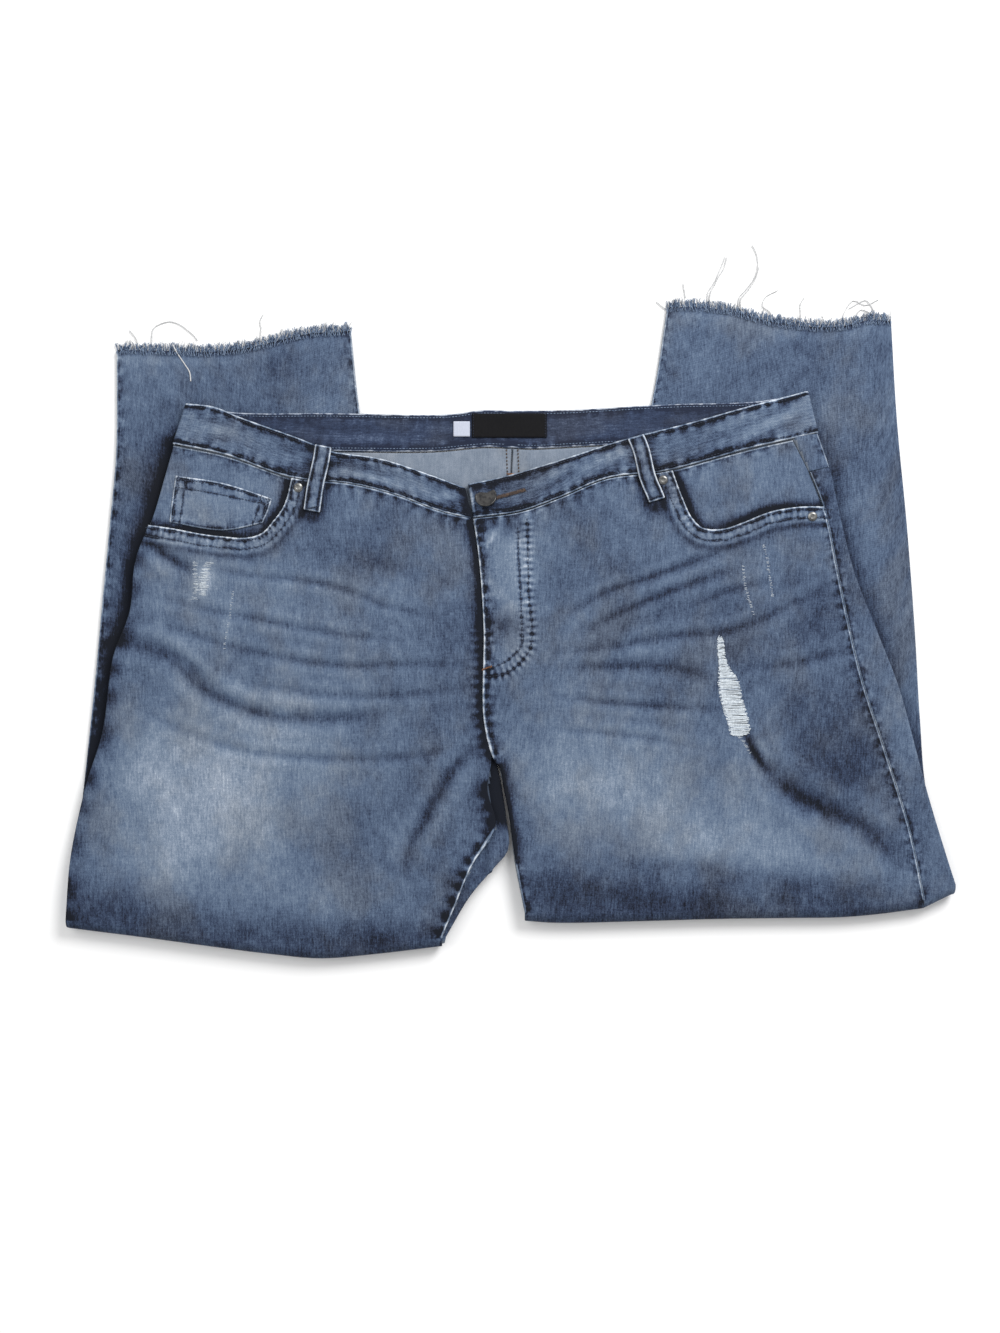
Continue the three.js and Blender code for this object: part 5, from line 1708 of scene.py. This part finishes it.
label_rows = label("black_waist_label", "waist_label", (-1, 152), 65, 21, BLACK_LABEL, "black_label")
label("white_size_tab", "size_tab", (-42.5, 149), 14, 13, WHITE_TAB, "white_tab")
sewn_rows("label_stitches", label_rows, NAVY_THREAD, pitch=2.2, length=1.7, thickness=0.5, slot="black_label")


# ------------------------------------------------------------------ metal
def lathe(name, node, profile, centre, base, material, sides=64, tilt=Matrix.Identity(3)):
    """A turned piece from (radius, height) pairs, closed at both ends of its axis."""
    profile = np.array(profile, float)
    angle = np.linspace(0, 2 * np.pi, sides, endpoint=False)
    rings = np.stack([np.outer(profile[1:-1, 0], np.cos(angle)), np.outer(profile[1:-1, 0], np.sin(angle)),
                      np.repeat(profile[1:-1, 1:], sides, axis=1)], -1)
    verts = np.concatenate([rings.reshape(-1, 3), [[0, 0, profile[0, 1]], [0, 0, profile[-1, 1]]]])
    verts = verts @ np.array(tilt).T + [centre[0], centre[1], base]
    last = (len(profile) - 3) * sides
    low, high = last + sides, last + sides + 1
    around = [(j, (j + 1) % sides) for j in range(sides)]
    faces = [(i + a, i + b, i + sides + b, i + sides + a) for i in range(0, last, sides) for a, b in around]
    faces += [(low, b, a) for a, b in around]
    faces += [(last + a, last + b, high) for a, b in around]
    mesh = bpy.data.meshes.new(name)
    mesh.from_pydata((verts * MM).tolist(), [], faces)
    mesh.materials.append(material)
    mesh.shade_smooth()
    mesh.set_sharp_from_angle(angle=math.radians(50))
    piece = bpy.data.objects.new(name, mesh)
    bpy.context.collection.objects.link(piece)
    settle(piece, "bronze", node)


BUTTON = (-21.3, 89.2)
BUTTON_PROFILE = [(0, 0), (4.6, 0), (4.8, 0.3), (4.8, 0.8), (8.8, 0.85), (9.35, 1.1), (9.6, 1.6), (9.6, 2.2),
                  (9.45, 2.6), (9.1, 2.85), (8.6, 2.9), (8.1, 2.8), (7.7, 2.74), (5, 2.8), (2.5, 2.84),
                  (0, 2.85)]
BUTTON_TILT, BUTTON_SINK = math.radians(-22), 1.2  # its upper edge is still under the buttonhole's lip
BUTTON_AXIS = Vector((0.97, 0.22, 0))  # along the band
button_base = float(front_height(*BUTTON)) + BAND_WALL / 2 + SEAM - BUTTON_SINK
lathe("fly_button", "button", BUTTON_PROFILE, BUTTON, button_base, BRONZE,
      tilt=Matrix.Rotation(BUTTON_TILT, 3, BUTTON_AXIS))
RIVET_PROFILE = [(0, 0), (3.7, 0), (3.95, 0.15), (4, 0.35), (3.8, 0.6), (3.1, 0.85), (2.5, 1.15), (2.1, 1.25),
                 (1.7, 1.1), (1.2, 0.95), (0, 1.0)]
RIVETS = dict(pocket_right=(-184.5, 97.6), pocket_left=(132.6, 104.2), side_left=(262.5, 72.5))
for name, spot in RIVETS.items():
    base = float(front_height(*spot)) + WALL / 2 + SEAM
    lathe(f"{name}_rivet", f"rivet_{name}", RIVET_PROFILE, spot, base, NICKEL, 40)


def tape(name):
    """Dark ribbed tape."""
    material, t, shader = principled(name, roughness=0.8)
    grain = t.noise(t.scaled(t.place(), (900, 300, 300)))
    t.put(shader.inputs["Base Color"], t.ramp(grain, [(0.3, (0.015, 0.02, 0.04)), (0.7, (0.03, 0.04, 0.07))]))
    return material


zip_tape = tape("zip_tape")
for finish in bpy.data.objects["fly_zip"].material_slots:
    finish.material = zip_tape


# ------------------------------------------------------------------ topstitching, bartacks and buttonhole lip
panel_rows = [on_surface(row, front_top, 0.12) for rows in FRONT_ROWS.values() for row in rows]
sewn_rows("panel_topstitch", panel_rows, NAVY_THREAD)
coin_rows = [on_surface(row, on_facing, THIN_WALL / 2 + 0.15) for row in COIN_ROWS]
sewn_rows("coin_pocket_topstitch", coin_rows, NAVY_THREAD)
crotch_rows = [on_surface(offset(FLY[2:], inset, 10)[8:-2], front_top, 0.12) for inset in (2.6, 5.6)]
sewn_rows("crotch_topstitch", crotch_rows, NAVY_THREAD)


def yoke_top(x, y):
    return back_height(x, y) + WALL / 2


def bartack(name, centre, size, turn, height, material, above=0.35):
    """Close zigzag bar: thick thread going back and forth across it."""
    length, width = size
    c, s = math.cos(turn), math.sin(turn)
    count = int(length / 0.45)
    steps = np.linspace(-length / 2, length / 2, count)
    side = np.where(np.arange(count) % 2, 1.0, -1.0) * width / 2
    x = centre[0] + steps * c - side * s
    y = centre[1] + steps * s + side * c
    line = np.column_stack([x, y, height(x, y) + above])
    loose_threads(name, [line], material, thickness=0.6, wander=0.05, slot="denim")


LOOP_TACK, LOOP_TOP = (12, 1.8), LOOP_WALL / 2 + 0.6
bartack("fly_bartack", (-20.4, -59.2), (9, 2.2), 0.3, front_top, RUST_THREAD)
bartack("buttonhole_edge", (0.5, 92.4), (26, 4.2), 0.27, on_band, BROWN_THREAD, -0.1)
bartack("yoke_bartack", (1, 109), (3, 9), 1.57, yoke_top, RUST_THREAD, 0.2)
bartack("right_loop_low_bartack", (-172, 80), LOOP_TACK, 0.2, on_band, NAVY_THREAD, LOOP_TOP)
bartack("left_loop_low_bartack", (125.5, 89), LOOP_TACK, 0.35, on_band, NAVY_THREAD, LOOP_TOP)
centre_seam = [on_surface([(x, 130.5), (x + 1, 106)], back_height, WALL / 2 + 0.5) for x in (-3.5, 6.5)]
sewn_rows("centre_back_stitches", centre_seam, BROWN_THREAD, thickness=1.2)


# ------------------------------------------------------------------ rip
rng = np.random.default_rng(11)
rip_line = np.array(RIP_EDGE + RIP_EDGE[:1])


def rip_span(y):
    """Left and right edges of the rip at a height, or nothing."""
    xs = []
    for (ax, ay), (bx, by) in zip(rip_line[:-1], rip_line[1:]):
        if (ay > y) != (by > y):
            xs.append(ax + (y - ay) * (bx - ax) / (by - ay))
    return (min(xs), max(xs)) if len(xs) >= 2 else None


def weft(y, left, right):
    """One thread across the rip, bent and sagging a little."""
    reach = min(2.8, 0.6 + 0.25 * (right - left))
    share = np.linspace(0, 1, 9)
    x = mix(left - rng.uniform(0.2, reach), right + rng.uniform(0.2, reach), share)
    bend = rng.normal(0, 0.35) * np.sin(np.pi * share)
    over = 0.1 + rng.uniform(-0.15, 0.35)
    sink = -0.5 * np.sin(np.pi * share) * rng.uniform(0, 1)
    z = front_height(x, np.full(9, y)) + WALL / 2 + over + sink
    return np.column_stack([x, y + bend + rng.normal(0, 0.5) * share, z])


RIP_FOOT, RIP_HEAD, WEFT_STEP = -118.5, -31, 0.4
wefts, dark_wefts = [], []
for y in np.arange(RIP_FOOT, RIP_HEAD, WEFT_STEP):
    span = rip_span(y)
    if span is None or rng.random() < 0.06:
        continue
    line = weft(y, *span)
    (dark_wefts if rng.random() < 0.07 else wefts).append(line)
loose_threads("rip_wefts", wefts, PALE_THREAD, thickness=0.8, wander=0.5, slot="fringe")
loose_threads("rip_blue_wefts", dark_wefts, BLUE_THREAD, thickness=0.5, wander=0.5, slot="denim")


def scratch(points, width, step):
    """Short broken threads lying across a worn line."""
    found = []
    line = spline(points)
    for t in np.arange(0, 1, step / line.length):
        if rng.random() < 0.3:
            continue
        x, y = line(t) + rng.normal(0, 0.25 * width, 2)
        half = width * rng.uniform(0.3, 1.0)
        xs = x + half * np.linspace(-1, 1, 4)
        ys = y + np.linspace(0, rng.normal(0, 0.5), 4)
        found.append(np.column_stack([xs, ys, front_top(xs, ys) + 0.12]))
    return found


# The line that each patch of scratches follows, half its width and the step between its threads.
SCRATCHES = [
    ([(-262, 33), (-266, 20), (-268, 4)], 4.2, 0.3),
    ([(-275, 34), (-273, 12), (-276, 0)], 2.4, 0.7),
    ([(-241, 7), (-245, -20), (-249, -43)], 1.1, 1.3),
    ([(220, 48), (223, 36), (228, 2)], 1.3, 1.0),
    ([(202, 30), (205, 9), (212, -14)], 1.3, 0.9),
    ([(198, -118), (203, -124), (208, -133)], 1.8, 1.2),
]
scratches = [line for points, width, step in SCRATCHES for line in scratch(points, width, step)]
loose_threads("worn_scratches", scratches, PALE_THREAD, thickness=0.32, wander=0.4, slot="fringe")


# ------------------------------------------------------------------ frayed hems and loose threads
FRINGE_HEIGHT = (CALF_BACK + WALL / 2) / 2 - 0.35
CALF_TOP = CALF_BACK + WALL / 2 + 0.4
TUFTS_BACK, TUFTS_HEIGHT = 2.4, CALF_BACK + WALL / 2 + 0.35
# Name, count, length and thickness of the threads in metres, their colour, seed and slot.
FRINGES = [
    ("pale", 190, 0.0115, 0.00055, GREY_THREAD, 3, "fringe"),
    ("blue", 700, 0.0090, 0.00065, BLUE_THREAD, 17, "denim"),
    ("navy", 380, 0.0055, 0.00075, INDIGO_THREAD, 29, "denim"),
    ("tufted", 260, 0.0055, 0.00065, BLUE_THREAD, 41, "denim"),
]


def hem_fringe(side, hem):
    """Four sorts of thread along a raw hem; the tufted ones lie on the edge of the cloth."""
    line = spline(hem)(np.linspace(0.004, 0.996, 60))
    low = np.column_stack([line[:, 0], line[:, 1] - 0.6, np.full(60, FRINGE_HEIGHT)])
    high = low + np.array([0, -TUFTS_BACK, TUFTS_HEIGHT - FRINGE_HEIGHT])
    for name, count, length, thickness, material, seed, slot in FRINGES:
        root = line_object(f"{side}_hem_{name}_fringe", [high if name == "tufted" else low])
        fringe = made_plain(root, FRINGE, Count=count, Length=length, Thickness=thickness, Seed=seed,
                            Material=material)
        settle(fringe, slot, *([f"hem_fringe_{side}"] if name == "pale" else []))


hem_fringe("right", RIGHT["hem"])
hem_fringe("left", LEFT["hem"])


def on_table(points, height=TABLE_GAP):
    line = spline(points)(np.linspace(0, 1, 40))
    return np.column_stack([line, np.full(len(line), height)])


LONG_THREADS = {
    "1": [
        [(199.7, 255), (199.7, 264.2), (205.8, 271.7), (212.7, 281.1), (216.2, 292.3), (214.8, 303.5),
         (211.4, 310.4)],
        [(201.7, 254), (201.4, 263), (207.6, 271), (214.2, 281), (217.3, 291)],
    ],
    "2": [
        [(172, 258), (172.7, 269.4), (176, 274.7), (179.7, 281.4), (183.1, 288.8), (187.5, 300.2)],
        [(173.6, 257), (175, 269), (178.2, 275), (181.5, 282), (186, 289), (189.4, 300)],
    ],
}
for number, strands in LONG_THREADS.items():
    loose_threads(f"long_hem_thread_{number}", map(on_table, strands), GREY_THREAD, thickness=1.15,
                  nodes=[f"loose_thread_{number}"])
THREAD_ON_CALF = [(-295, 223.6), (-291, 216), (-285, 207), (-280, 199), (-279, 191)]
STRAY_THREADS = [
    [(-219, 222), (-219, 229), (-218, 238), (-219, 243.6), (-216, 250)],
    [(-325, 218), (-327, 228), (-333, 236)],
    [(229, 243), (227.5, 251), (220.5, 257.5), (223, 265), (233.6, 271)],
    [(253.6, 241), (253.6, 250.6), (253.6, 259), (257, 265)],
    [(142, 256), (142, 263)],
    [(153, 264), (151, 277)],
    [(136, 254), (127.5, 261)],
    [(289, 240), (292, 252), (300, 262), (310, 258), (322, 263)],
    [(300, 242), (306, 254), (318, 250), (311, 262), (296, 255)],
]
CURLED_THREAD = [(-314, 219), (-312, 237.5), (-305, 242), (-297, 243.6), (-289, 241), (-282, 236),
                 (-276, 230.6), (-273.6, 227)]
loose_threads("stray_pale_threads", [on_table(THREAD_ON_CALF, CALF_TOP), *map(on_table, STRAY_THREADS)],
              GREY_THREAD, thickness=1.1)
loose_threads("stray_curled_thread", [on_table(CURLED_THREAD)], GREY_THREAD, thickness=1.1)


# ------------------------------------------------------------------ floor, light and camera
floor_mesh = bpy.data.meshes.new("studio_floor")
floor_mesh.from_pydata([(-4, -4, 0), (4, -4, 0), (4, 4, 0), (-4, 4, 0)], [], [(0, 1, 2, 3)])
floor_paint, _, _ = principled("white_floor", roughness=1.0, Base_Color=(0.94, 0.94, 0.94, 1),
                               Specular_IOR_Level=0.0)
floor_mesh.materials.append(floor_paint)
floor = bpy.data.objects.new("studio_floor", floor_mesh)
bpy.context.collection.objects.link(floor)


def area_light(name, place, size, watts):
    light = bpy.data.lights.new(name, "AREA")
    light.shape, light.size, light.energy = "DISK", size, watts
    lamp = bpy.data.objects.new(name, light)
    lamp.location = place
    lamp.rotation_euler = (Vector((0, 0, 0)) - Vector(place)).to_track_quat("-Z", "Y").to_euler()
    bpy.context.collection.objects.link(lamp)


area_light("key_light", (1.1, 1.5, 1.7), 1.4, 62)
area_light("fill_light", (-1.6, 0.6, 2.0), 2.4, 22)
world = bpy.data.worlds.new("studio")
world.use_nodes = True
world.node_tree.nodes["Background"].inputs["Color"].default_value = (1, 1, 1, 1)
world.node_tree.nodes["Background"].inputs["Strength"].default_value = 0.55
bpy.context.scene.world = world
bpy.context.scene.view_settings.view_transform = "Standard"

camera_data = bpy.data.cameras.new("camera")
camera_data.sensor_fit = "HORIZONTAL"
camera_data.sensor_width = 36
camera_data.lens = 78.2
camera = bpy.data.objects.new("camera", camera_data)
camera.location = (-0.0091, -0.0579, 1.9)
bpy.context.collection.objects.link(camera)
bpy.context.scene.camera = camera
